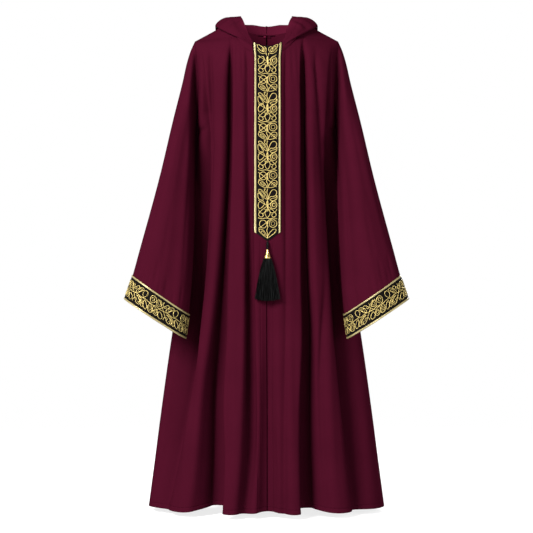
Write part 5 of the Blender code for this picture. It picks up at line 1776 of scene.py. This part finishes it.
def embroidery(name, place, cords, bands, base):
    """Couched cords laid on a band: each path of the chart carried onto the band's surface.

    A cord's height is the band's top, a share of its radius and a step for its order, and the upper
    and lower cords rise and fall a little along a sine.
    """
    lines, thickness, order = cords
    points, normals = place(lines[..., 0] * MM, lines[..., 1] * MM)
    radius = bands.cord_radius * thickness[:, None]
    height = base + radius * CORD_STAND + order[:, None] * CORD_LEVEL
    angle = np.linspace(0, 2 * CORD_WAVES * math.pi, CORD_SAMPLES)
    waver = CORD_WAVER * np.sin(angle) * (order[:, None] - 1)
    centres = points + normals * (height + waver)[..., None]
    gold = thread_of("gold_thread", bands.gold)
    return tubes(name, centres, normals, radius, gold, flat=CORD_FLAT)


def arch_over(height):
    """How high a rounded strip stands over its width: half an ellipse on short upright sides."""
    share = np.linspace(-1, 1, BRAID_POINTS)[:, None]
    return height * (BRAID_SIDE + (1 - BRAID_SIDE) * np.sqrt(np.clip(1 - share**2, 0, 1)))


def stitch_row(points, normals):
    """Small raised stitches along a line: each a short cord, high in its middle.

    The line is cut into even steps. A stitch's points lie along the line, and its height is a half
    wave of the cosine, highest in its middle.
    """
    steps = np.linalg.norm(np.diff(points, axis=0), axis=1)
    length = np.append(0, np.cumsum(steps))
    count = max(int(length[-1] / STITCH_STEP), 1)
    middles = (np.arange(count) + 0.5) * length[-1] / count
    shares = np.linspace(-0.5, 0.5, STITCH_POINTS)
    at = middles[:, None] + shares[None] * STITCH_LENGTH
    centres = np.stack([np.interp(at, length, points[:, k]) for k in range(3)], -1)
    ups = unit(np.stack([np.interp(at, length, normals[:, k]) for k in range(3)], -1))
    lift = (np.cos(shares * math.pi) * STITCH_HIGH - STITCH_SUNK) * STITCH_RADIUS
    return centres + ups * lift[None, :, None], ups


# Sizes and colours


def colour_setting(name, description, default):
    """A colour."""
    return bpy.props.FloatVectorProperty(
        name=name, description=description, subtype="COLOR", size=3, min=0, max=1, default=default,
    )


def length_setting(name, description, low, high, default):
    """A length in metres."""
    return bpy.props.FloatProperty(
        name=name, description=description, subtype="DISTANCE", unit="LENGTH",
        min=low, max=high, default=default,
    )


def share_setting(name, description, default):
    """A strength between none and full."""
    return bpy.props.FloatProperty(
        name=name, description=description, min=0, max=1, default=default,
    )


class AbayaCloth(bpy.types.PropertyGroup):
    """The main cloth."""

    colour: colour_setting("Colour", "Colour of the crepe", (0.0254, 0.0020, 0.0064))
    thickness: length_setting("Thickness", "Thickness of the cloth", 0.0005, 0.002, 0.0013)
    roughness: share_setting("Roughness", "Roughness of the crepe", 0.9)
    sheen: share_setting("Sheen", "Strength of the soft sheen", 0.02)
    crepe: share_setting("Crepe", "Strength of the pebbled surface", 0.35)


class AbayaBands(bpy.types.PropertyGroup):
    """The embroidered bands."""

    ground: colour_setting("Ground", "Colour of the bands' ground", (0.0014, 0.0011, 0.0012))
    gold: colour_setting("Gold thread", "Colour of the embroidery", (0.37, 0.285, 0.10))
    braid: colour_setting("Braid", "Colour of the edge braids", (0.215, 0.174, 0.072))
    cord_radius: length_setting(
        "Cord", "Half the thickness of the couched cords", 0.0005, 0.002, 0.0008
    )
    braid_height: length_setting(
        "Braid height", "How far the edge braids stand up", 0.0003, 0.002, 0.0011
    )


class AbayaTassel(bpy.types.PropertyGroup):
    """The tassel and its cap."""

    colour: colour_setting("Silk", "Colour of the tassel's silk", (0.0012, 0.0013, 0.0013))
    cap_colour: colour_setting("Cap", "Colour of the metal cap", (0.62, 0.445, 0.155))
    strands: bpy.props.IntProperty(
        name="Strands", description="Number of strands", min=60, max=240, default=230,
    )
    strand_radius: length_setting("Strand", "Half a strand's thickness", 0.0003, 0.0015, 0.00085)


class AbayaStage(bpy.types.PropertyGroup):
    """Floor, light and camera."""

    floor_colour: colour_setting("Floor", "Colour of the floor", (0.3, 0.3, 0.3))
    floor_gap: length_setting("Floor gap", "How far the floor lies below the hem", 0, 1, 0.015)
    sky: bpy.props.FloatProperty(
        name="Sky", description="Strength of the light from all round", min=0, max=5, default=1.0,
    )
    key: bpy.props.FloatProperty(
        name="Key light", description="Power of the large light at the upper left", unit="POWER",
        min=0, max=2000, default=760.0,
    )
    lens: bpy.props.FloatProperty(
        name="Lens", description="Focal length", subtype="DISTANCE_CAMERA", min=20, max=300,
        default=113.7,
    )


# Pieces


def finish_of(name, make, *settings):
    """The named material, made on its first use."""
    return bpy.data.materials.get(name) or make(*settings)


def crepe_of(context):
    """The wine crepe."""
    return finish_of("crepe_cloth", crepe_finish, context.scene.abaya_cloth)


def thread_of(name, colour):
    """The named thread in this colour, made on its first use."""
    return finish_of(name, thread_finish, name, colour, *THREADS[name])


def crepe_piece(context, node, points, normals, thickness, around=False):
    """A crepe wall in the place of its node, with the size of its cut measured."""
    item = wall(
        f"{node}_cloth", points, normals, thickness, crepe_of(context), (node,),
        around=around,
    )
    declare(points, around=around)


def braid_trim(bands, node, points, normals, base, arch, thickness, around=False):
    """A gold braid in the place of its node, raised off the cloth by an arch over its width."""
    finish = finish_of("braid_satin", braid_finish, bands)
    raised = points + normals * (base + arch)
    return wall(f"{node}_trim", raised, normals, thickness, finish, (node,), around=around)


class ABAYA_OT_panels(bpy.types.Operator):
    """The fronts and backs, each hung from the shoulders in its folds"""

    bl_idname = "abaya.panels"
    bl_label = "Fronts and backs"

    def execute(self, context):
        thickness = context.scene.abaya_cloth.thickness
        for half, name, other in ((-1, "front", "back"), (1, "back", "front")):
            for side, label in SIDES:
                points, normals = fine_panel(side, half)[:2]
                crepe_piece(context, f"{name}_{label}", points, normals, thickness)
        return {"FINISHED"}


class ABAYA_OT_sleeves(bpy.types.Operator):
    """The wide sleeves, with puckers above their bands"""

    bl_idname = "abaya.sleeves"
    bl_label = "Sleeves"

    def execute(self, context):
        thickness = context.scene.abaya_cloth.thickness
        for side, label in SIDES:
            points, normals = fine_sleeve(side)
            crepe_piece(context, f"sleeve_{label}", points, normals, thickness, around=True)
        return {"FINISHED"}


class ABAYA_OT_hood(bpy.types.Operator):
    """The hood's halves, lying back round the neck"""

    bl_idname = "abaya.hood"
    bl_label = "Hood"

    def execute(self, context):
        for side, label in SIDES:
            points, normals = fine_hood(side)[:2]
            crepe_piece(context, f"hood_{label}", points, normals, HOOD_CLOTH)
        return {"FINISHED"}


def placket_drops(share, down):
    """Drops on the placket at these shares across and down it.

    Its top edge dips as a parabola, and its lower one goes straight down to a point.
    """
    top = -PLACKET_TOP_Z + PLACKET_TOP_DIP * (1 - share**2)
    point = PLACKET_POINT - PLACKET_CORNER
    bottom = PLACKET_CORNER + point * np.clip(1 - np.abs(share), 0, 1)
    return top + (bottom - top) * down


class ABAYA_OT_placket(bpy.types.Operator):
    """The black band down the front, its gold braids and its couched interlace"""

    bl_idname = "abaya.placket"
    bl_label = "Placket"

    def execute(self, context):
        bands = context.scene.abaya_bands
        ground = finish_of("band_twill", band_finish, bands)
        share = np.linspace(-1, 1, PLACKET_COLUMNS)[None, :]
        drop = placket_drops(share, np.linspace(0, 1, PLACKET_ROWS)[:, None])
        points, normals = placket_place(share * placket_half_width(drop), drop)
        top = LAY_GAP + BAND_CLOTH
        outer = points + normals * top
        item = wall("placket_cloth", outer, normals, BAND_CLOTH, ground, ("placket",))
        trims = [self.braid(bands, sign, label) for sign, label in SIDES]
        cords = placket_cords()
        trims.append(embroidery("placket_embroidery", placket_place, cords, bands, top))
        declare(outer)
        return {"FINISHED"}

    def braid(self, bands, sign, label):
        """The braid along one side of the placket, over a narrow share of its width."""
        share = np.linspace(*BRAID_SHOWN, BRAID_POINTS)[None, :] * sign
        drop = placket_drops(share, np.linspace(BRAID_START, 1, PLACKET_ROWS)[:, None])
        points, normals = placket_place(share * placket_half_width(drop), drop)
        arch = arch_over(bands.braid_height)
        thickness = (arch + BRAID_SINK).mean()
        base = LAY_GAP + BAND_CLOTH + BRAID_LIFT
        return braid_trim(bands, f"placket_braid_{label}", points, normals, base, arch, thickness)


def cuff_place(side):
    """The way round a sleeve's end in metres, and a function that finds places on it."""
    turns = np.linspace(0, 1, CUFF_MEASURES)
    middle = (CUFF_START + CUFF_END) / 2
    ring = sleeve_ring(side, np.full_like(turns, middle), turns)
    length = np.append(0, np.cumsum(np.linalg.norm(np.diff(ring, axis=0), axis=1)))
    edges = sleeve_ring(side, np.array([CUFF_START, CUFF_END]), 0.25)
    height = float(np.linalg.norm(edges[1] - edges[0]))

    def place(around, across):
        """Points and normals at these metres round the sleeve and across its band."""
        turn = np.interp(around % length[-1], length, turns)
        along = middle + across / height * (CUFF_END - CUFF_START)
        return sleeve_place(side, np.clip(along, 0, CUFF_END), turn)

    return place, float(length[-1])


class ABAYA_OT_cuffs(bpy.types.Operator):
    """The black bands round the sleeve ends, their braids and their couched interlace"""

    bl_idname = "abaya.cuffs"
    bl_label = "Cuff bands"

    def execute(self, context):
        bands = context.scene.abaya_bands
        ground = finish_of("band_twill", band_finish, bands)
        turn = np.arange(CUFF_TURNS)[None, :] / CUFF_TURNS
        top = CUFF_GAP + BAND_CLOTH
        for side, label in SIDES:
            along = np.linspace(CUFF_START, CUFF_END, CUFF_ROWS)[:, None]
            points, normals = sleeve_place(side, along, turn)
            outer = points + normals * top
            item = wall(
                f"cuff_{label}_cloth", outer, normals, BAND_CLOTH, ground,
                (f"cuff_{label}",), around=True,
            )
            trims = [
                self.braid(bands, side, f"upper_{label}", CUFF_START, turn),
                self.braid(bands, side, f"lower_{label}", CUFF_END - BRAID_ALONG, turn),
            ]
            place, length = cuff_place(side)
            count = round(length / (CUFF_REPEAT * MM))
            stretch = length / (count * CUFF_REPEAT * MM)
            lines, thickness, order = chart_lines(CUFF_CHART, (CUFF_REPEAT, 0), count, (0, 0))
            cords = lines * np.array([stretch, CUFF_DRAWN]), thickness, order
            trims.append(embroidery(f"cuff_{label}_embroidery", place, cords, bands, top))
            declare(outer, around=True)
        return {"FINISHED"}

    def braid(self, bands, side, label, start, turn):
        """The braid round one edge of a band, from this share along the sleeve."""
        along = np.linspace(start, start + BRAID_ALONG, BRAID_POINTS)[:, None]
        points, normals = sleeve_place(side, along, turn)
        arch = arch_over(bands.braid_height)[:, None]
        thickness = bands.braid_height * CUFF_BRAID_WALL
        base = CUFF_GAP + BAND_CLOTH + BRAID_LIFT
        node = f"cuff_braid_{label}"
        return braid_trim(bands, node, points, normals, base, arch, thickness, around=True)


def front_y(drop):
    """How far forward the front lies at the placket's middle, at this drop."""
    return float(body_point(np.array([PLACKET_X]), np.array([drop]), -1)[0][0, 1])


def tassel_line():
    """Where the tassel hangs: its cord's top, the cord's lean, the cap's top and the hang's lean."""
    top = PLACKET_POINT + TASSEL_BELOW_POINT
    bottom = top + CORD_LENGTH + CAP_LENGTH + STRAND_LENGTH
    start = front_y(top)
    slope = -(front_y(bottom) - start) / (bottom - top)
    cord_y = start - CORD_RADIUS - CORD_GAP
    lean = slope + (TASSEL_STAND_OFF - CORD_RADIUS) / CORD_LENGTH
    cord_top = np.array([PLACKET_X, cord_y, -top])
    cap_top = np.array([PLACKET_X, cord_y - lean * CORD_LENGTH, -top - CORD_LENGTH - SEAM_GAP])
    return cord_top, lean, cap_top, slope


class ABAYA_OT_tassel(bpy.types.Operator):
    """The twisted cord, the metal cap and the silk strands"""

    bl_idname = "abaya.tassel"
    bl_label = "Tassel"

    def execute(self, context):
        tassel = context.scene.abaya_tassel
        silk = finish_of("silk_strands", silk_finish, tassel)
        metal = finish_of("cap_metal", metal_finish, tassel)
        cord_top, lean, cap_top, slope = tassel_line()
        self.twisted_cord(cord_top, lean, silk)
        profile = np.array(CAP_PROFILE) * MM
        turned("tassel_cap_metal", profile, cap_top, slope, metal, ("tassel_cap",))
        self.strands(cap_top, slope, tassel, silk)
        return {"FINISHED"}

    def twisted_cord(self, top, lean, silk):
        """Three plies, each a helix about the cord's line."""
        share = np.linspace(0, 1, PLY_SAMPLES)
        middle = top + share[:, None] * CORD_LENGTH * np.array([0, -lean, -1])
        start = np.arange(PLIES)[:, None] * 2 * math.pi / PLIES
        angle = start + share[None] * PLY_HALF_TURNS * math.pi
        ply = CORD_RADIUS * PLY_SHARE
        around = np.stack([np.cos(angle), np.sin(angle), np.zeros_like(angle)], -1)
        centres, radius = middle[None] + around * ply, ply * PLY_OVERLAP
        tubes("tassel_cord_plies", centres, unit(around), radius, silk,
              ("tassel_cord",), ring=8)

    def strands(self, cap_top, slope, tassel, silk):
        """Strands from even places in the head's round, fanned out and slightly wavy.

        Their roots lie on a sunflower spiral: the distance from the middle goes as the square root
        of the strand's number. A strand's line goes from its root to its tip, bulges out in its
        upper half, and wavers by a sine that grows downwards.
        """
        number = np.arange(tassel.strands)
        share = np.sqrt((number + 0.5) / tassel.strands)
        angle = number * GOLDEN_ANGLE
        spiral = np.stack([np.cos(angle) * share, np.sin(angle) * share], 1)
        root = spiral * (CAP_BOTTOM_RADIUS - ROOT_INSET)
        fan = np.array([FRINGE_HALF_WIDTH * FAN_WIDTH, FRINGE_HALF_DEPTH * FAN_DEPTH])
        tip = spiral * fan
        length = STRAND_LENGTH * (1 - OUTER_SHORTER * (tip[:, 0] / FRINGE_HALF_WIDTH) ** 2)
        for height, step in UNEVEN_TIPS:
            length = length + height * np.sin(number * step)
        start_z = cap_top[2] - CAP_LENGTH + HEAD_LENGTH - ROOT_DEPTH
        start_y = cap_top[1] - slope * (CAP_LENGTH - HEAD_LENGTH)
        t = np.linspace(0, 1, STRAND_SAMPLES)[None]
        number, length = number[:, None], length[:, None]
        middle = root[:, None] + (tip - root)[:, None] * (t**STRAND_BULGE)[..., None]
        x = PLACKET_X + middle[..., 0] + WAVE_ACROSS * np.sin(t * (5 + number % 4) + number) * t
        z = start_z - t * (length + HEAD_LENGTH - ROOT_DEPTH)
        y = start_y + middle[..., 1] + slope * (z - start_z)
        y = y + WAVE_DEEP * np.cos(t * (4 + number % 3) + 2 * number) * t
        centres = np.stack([x, y, z], -1)
        ups = np.broadcast_to(FORWARD, centres.shape)
        tubes("tassel_strands", centres, ups, tassel.strand_radius, silk, ("tassel",), ring=5)


class ABAYA_OT_closing(bpy.types.Operator):
    """The covered button and the thread loop inside the back of the neck"""

    bl_idname = "abaya.closing"
    bl_label = "Button and loop"

    def execute(self, context):
        cloth = context.scene.abaya_cloth
        # Near-black cords along the seams: painted shade
        self.seam_lines(cloth)
        points, normals = (table[:, 0] for table in coarse_panel(-1, 1))
        y, *facing = (
            np.interp(-BUTTON_Z, -points[:, 2], values)
            for values in (points[:, 1], normals[:, 1], normals[:, 2])
        )
        facing = unit(np.array([0, *facing]))
        inside = np.array([0, y, BUTTON_Z]) - facing * (CLOTH + BUTTON_STAND_OFF)
        across = np.array([1.0, 0, 0])
        down = np.array([0, facing[2], -facing[1]])
        self.button(cloth, inside + across * BUTTON_X, across, down, facing)
        self.loop(cloth, inside + across * LOOP_X, across, down, facing)
        return {"FINISHED"}

    def button(self, cloth, middle, across, down, facing):
        """A flat dome: a ball's rings from just past its widest one to its top."""
        dome = np.linspace(0, 1, BUTTON_RINGS)[:, None]
        angle = np.arange(BUTTON_TURNS)[None] * 2 * math.pi / BUTTON_TURNS
        height = dome * (1 + BUTTON_BALL) - BUTTON_BALL
        radius = BUTTON_RADIUS * np.sqrt(np.clip(1 - height**2, 0, 1))
        ring = np.cos(angle)[..., None] * across + np.sin(angle)[..., None] * down
        grid = middle - facing * (BUTTON_DEPTH * dome)[..., None] + ring * radius[..., None]
        number, mark = grid_numbers(BUTTON_RINGS, BUTTON_TURNS)
        shares = [np.arange(count) / count for count in mark.shape[::-1]]
        u, v = np.meshgrid(shares[0] * BUTTON_MAP[0], shares[1] * BUTTON_MAP[1])
        uv = np.stack([u, v], -1).reshape(-1, 2)
        faces = quads(number)[:, ::-1].tolist() + [number[0, :-1].tolist()]
        spots = np.concatenate([quads(mark)[:, ::-1].ravel(), mark[0, :-1]])
        # The cover is the cloth's crepe painted lighter: painted light on the button's dome
        crepe = thread_of("wine_button", toned(cloth.colour, BUTTON_PAINTED_LIGHT)[:3])
        make_piece("neck_button_cover", grid.reshape(-1, 3), faces, uv, spots, crepe,
                   ("neck_button",))

    def loop(self, cloth, middle, across, down, facing):
        """An oval of round thread."""
        turn = np.linspace(0, 2 * math.pi, LOOP_SAMPLES)[:, None]
        line = middle - facing * LOOP_THREAD + np.cos(turn) * across * LOOP_HALF_LENGTH
        line = line + np.sin(turn) * down * LOOP_HALF_HEIGHT
        ups = np.broadcast_to(-facing, line.shape)
        thread = thread_of("wine_thread", cloth.colour)
        tubes("neck_loop_thread", line[None], ups[None], LOOP_THREAD, thread,
              ("neck_loop",), ring=8)

    def seam_lines(self, cloth):
        """Painted shade along the pressed seams: near-black cords down the front and back, inside the neck
        and slit, and the hood's.
        """
        paths = []
        for half, start in ((-1, PLACKET_POINT + SEAM_BELOW_POINT), (1, SLIT_DROP)):
            points, normals, _, drop = fine_panel(-1, half)
            low = int(np.argmax(drop[:, 0] > start))
            paths.append(points[low:, 0] + normals[low:, 0] * SEAM_RAISED)
        for side in (-1, 1):
            points, normals, _, drop = fine_panel(side, 1)
            inner = points - normals * (cloth.thickness + SEAM_INSIDE)
            low = int(np.argmax(drop[:, 0] > SLIT_DROP))
            paths += [inner[2, 1 : NECK_COLUMNS * COLUMN_CUTS], inner[2:low, 1]]
        points, normals, up = fine_hood(1)
        middle = points[:, -1] - normals[:, -1] * HOOD_CLOTH / 2
        low, high = (int(np.argmax(up[:, 0] > share)) for share in HOOD_SEAM_HIDDEN)
        paths += [middle[1:low], middle[high:-1]]
        share = np.linspace(0, 1, SEAM_SAMPLES)
        centres = np.stack([through_line(path, share) for path in paths])
        ups = np.broadcast_to(FORWARD, centres.shape)
        # The cords are the cloth's colour darkened to stand for the shade in the seams: painted shade
        groove_shade = thread_of("dark_seam", toned(cloth.colour, SEAM_SHADE_TONE)[:3])
        tubes("seam_lines", centres, ups, SEAM_SHADE_RADIUS, groove_shade)


class ABAYA_OT_stitching(bpy.types.Operator):
    """Topstitching beside the front seam, along the hem, the hood's edge and the neck"""

    bl_idname = "abaya.stitching"
    bl_label = "Stitching"

    def execute(self, context):
        cloth = context.scene.abaya_cloth
        rows = []
        for side in (-1, 1):
            for half in (-1, 1):
                points, normals, x, drop = fine_panel(side, half)
                row = int(np.argmin(np.abs(drop[-1, 0] - drop[:, 0] - HEM_STITCH)))
                rows.append(stitch_row(points[row], normals[row]))
                if half < 0:
                    column = int(np.argmin(np.abs(np.abs(x[-TOPSTITCH_ROW]) - TOPSTITCH_X)))
                    start = PLACKET_POINT - TOPSTITCH_ABOVE_POINT
                    start = int(np.argmax(drop[:, column] > start))
                    rows.append(stitch_row(points[start:, column], normals[start:, column]))
                else:
                    part = slice(NECK_STITCH_COLUMN, NECK_COLUMNS * COLUMN_CUTS)
                    facing = normals[NECK_STITCH_ROW, part]
                    inner = points[NECK_STITCH_ROW, part] - facing * cloth.thickness
                    rows.append(stitch_row(inner, -facing))
            points, normals, up = fine_hood(side)
            row = int(np.argmin(np.abs(up[:, 0] - HOOD_HEM)))
            rows.append(stitch_row(points[row], normals[row]))
        centres, ups = (np.concatenate(tables) for tables in zip(*rows))
        thread = thread_of("wine_thread", cloth.colour)
        tubes("topstitching", centres, ups, STITCH_RADIUS, thread, ring=4)
        return {"FINISHED"}


class ABAYA_OT_stage(bpy.types.Operator):
    """Pale floor, soft light from the upper left and the camera"""

    bl_idname = "abaya.stage"
    bl_label = "Stage"

    def execute(self, context):
        stage = context.scene.abaya_stage
        scene = context.scene
        scene.view_settings.view_transform = "Standard"
        self.sky(scene, stage)
        self.floor(scene, stage)
        for name, where, aim, size, share in LAMPS:
            lamp = bpy.data.lights.new(name, "AREA")
            lamp.energy = stage.key * share
            lamp.size = size
            item = bpy.data.objects.new(name, lamp)
            scene.collection.objects.link(item)
            item.location = where
            direction = Vector(aim) - Vector(where)
            item.rotation_euler = direction.to_track_quat("-Z", "Y").to_euler()
            item.visible_camera = False
        lens = bpy.data.cameras.new("camera")
        lens.lens = stage.lens
        lens.sensor_width = SENSOR_WIDTH
        camera = bpy.data.objects.new("camera", lens)
        scene.collection.objects.link(camera)
        camera.location = CAMERA_PLACE
        camera.rotation_euler = (math.radians(90), 0, 0)
        scene.camera = camera
        return {"FINISHED"}

    def sky(self, scene, stage):
        """A white sky near the horizon all round, dimmer overhead and below."""
        world = bpy.data.worlds.new("studio")
        scene.world = world
        world.use_nodes = True
        tree = world.node_tree
        height = math_node(tree, "ABSOLUTE", parts_of(tree, coordinate(tree, "Generated"))[2])
        strength = math_node(tree, "MULTIPLY", faded(tree, height, SKY_FADE), stage.sky)
        back = tree.nodes["Background"]
        back.inputs[0].default_value = (1, 1, 1, 1)
        fill(tree, back.inputs[1], strength)

    def floor(self, scene, stage):
        """A round pale floor, fading out before its edge."""
        low = -HEM_DROP - stage.floor_gap
        turns = np.arange(FLOOR_TURNS) * 2 * math.pi / FLOOR_TURNS
        rim = np.stack([np.cos(turns), np.sin(turns), np.full(FLOOR_TURNS, low / FLOOR_RADIUS)], 1)
        mesh = bpy.data.meshes.new("floor")
        mesh.from_pydata((rim * FLOOR_RADIUS).tolist(), [], [list(range(FLOOR_TURNS))])
        floor = bpy.data.objects.new("floor", mesh)
        scene.collection.objects.link(floor)
        paint, tree, shader = new_finish("pale_floor", stage.floor_colour, 0.9)
        flat = scaled(tree, coordinate(tree, "Object"), (1, 1, 0))
        far = tree.nodes.new("ShaderNodeVectorMath")
        far.operation = "LENGTH"
        tree.links.new(flat, far.inputs[0])
        tree.links.new(faded(tree, far.outputs["Value"], FLOOR_FADE), shader.inputs["Alpha"])
        set_inputs(shader, Emission_Color=(1, 1, 1, 1), Emission_Strength=FLOOR_GLOW, Specular_IOR_Level=0.0)
        mesh.materials.append(paint)


class ABAYA_PT_sidebar(bpy.types.Panel):
    """The garment's sizes, colours and pieces"""

    bl_label = "Hooded abaya"
    bl_idname = "ABAYA_PT_sidebar"
    bl_space_type = "VIEW_3D"
    bl_region_type = "UI"
    bl_category = "Abaya"

    def draw(self, context):
        for group in ("abaya_cloth", "abaya_bands", "abaya_tassel", "abaya_stage"):
            settings = getattr(context.scene, group)
            box = self.layout.box()
            for key in settings.__annotations__:
                box.prop(settings, key)
        for piece in PIECES:
            self.layout.operator(piece.bl_idname)


GROUPS = {
    "abaya_cloth": AbayaCloth,
    "abaya_bands": AbayaBands,
    "abaya_tassel": AbayaTassel,
    "abaya_stage": AbayaStage,
}
PIECES = (
    ABAYA_OT_panels,
    ABAYA_OT_sleeves,
    ABAYA_OT_hood,
    ABAYA_OT_placket,
    ABAYA_OT_cuffs,
    ABAYA_OT_tassel,
    ABAYA_OT_closing,
    ABAYA_OT_stitching,
    ABAYA_OT_stage,
)


def register():
    """Makes the settings, operators and panel known."""
    for name, group in GROUPS.items():
        bpy.utils.register_class(group)
        setattr(bpy.types.Scene, name, bpy.props.PointerProperty(type=group))
    for item in (*PIECES, ABAYA_PT_sidebar):
        bpy.utils.register_class(item)


def unregister():
    """Takes them away again."""
    for item in reversed((*PIECES, ABAYA_PT_sidebar)):
        bpy.utils.unregister_class(item)
    for name, group in GROUPS.items():
        delattr(bpy.types.Scene, name)
        bpy.utils.unregister_class(group)


def main():
    """Makes the settings, operators and panel known, and builds every piece."""
    register()
    bpy.ops.abaya.panels()
    bpy.ops.abaya.sleeves()
    bpy.ops.abaya.hood()
    bpy.ops.abaya.placket()
    bpy.ops.abaya.cuffs()
    bpy.ops.abaya.tassel()
    bpy.ops.abaya.closing()
    bpy.ops.abaya.stitching()
    bpy.ops.abaya.stage()


if __name__ == "__main__":
    main()
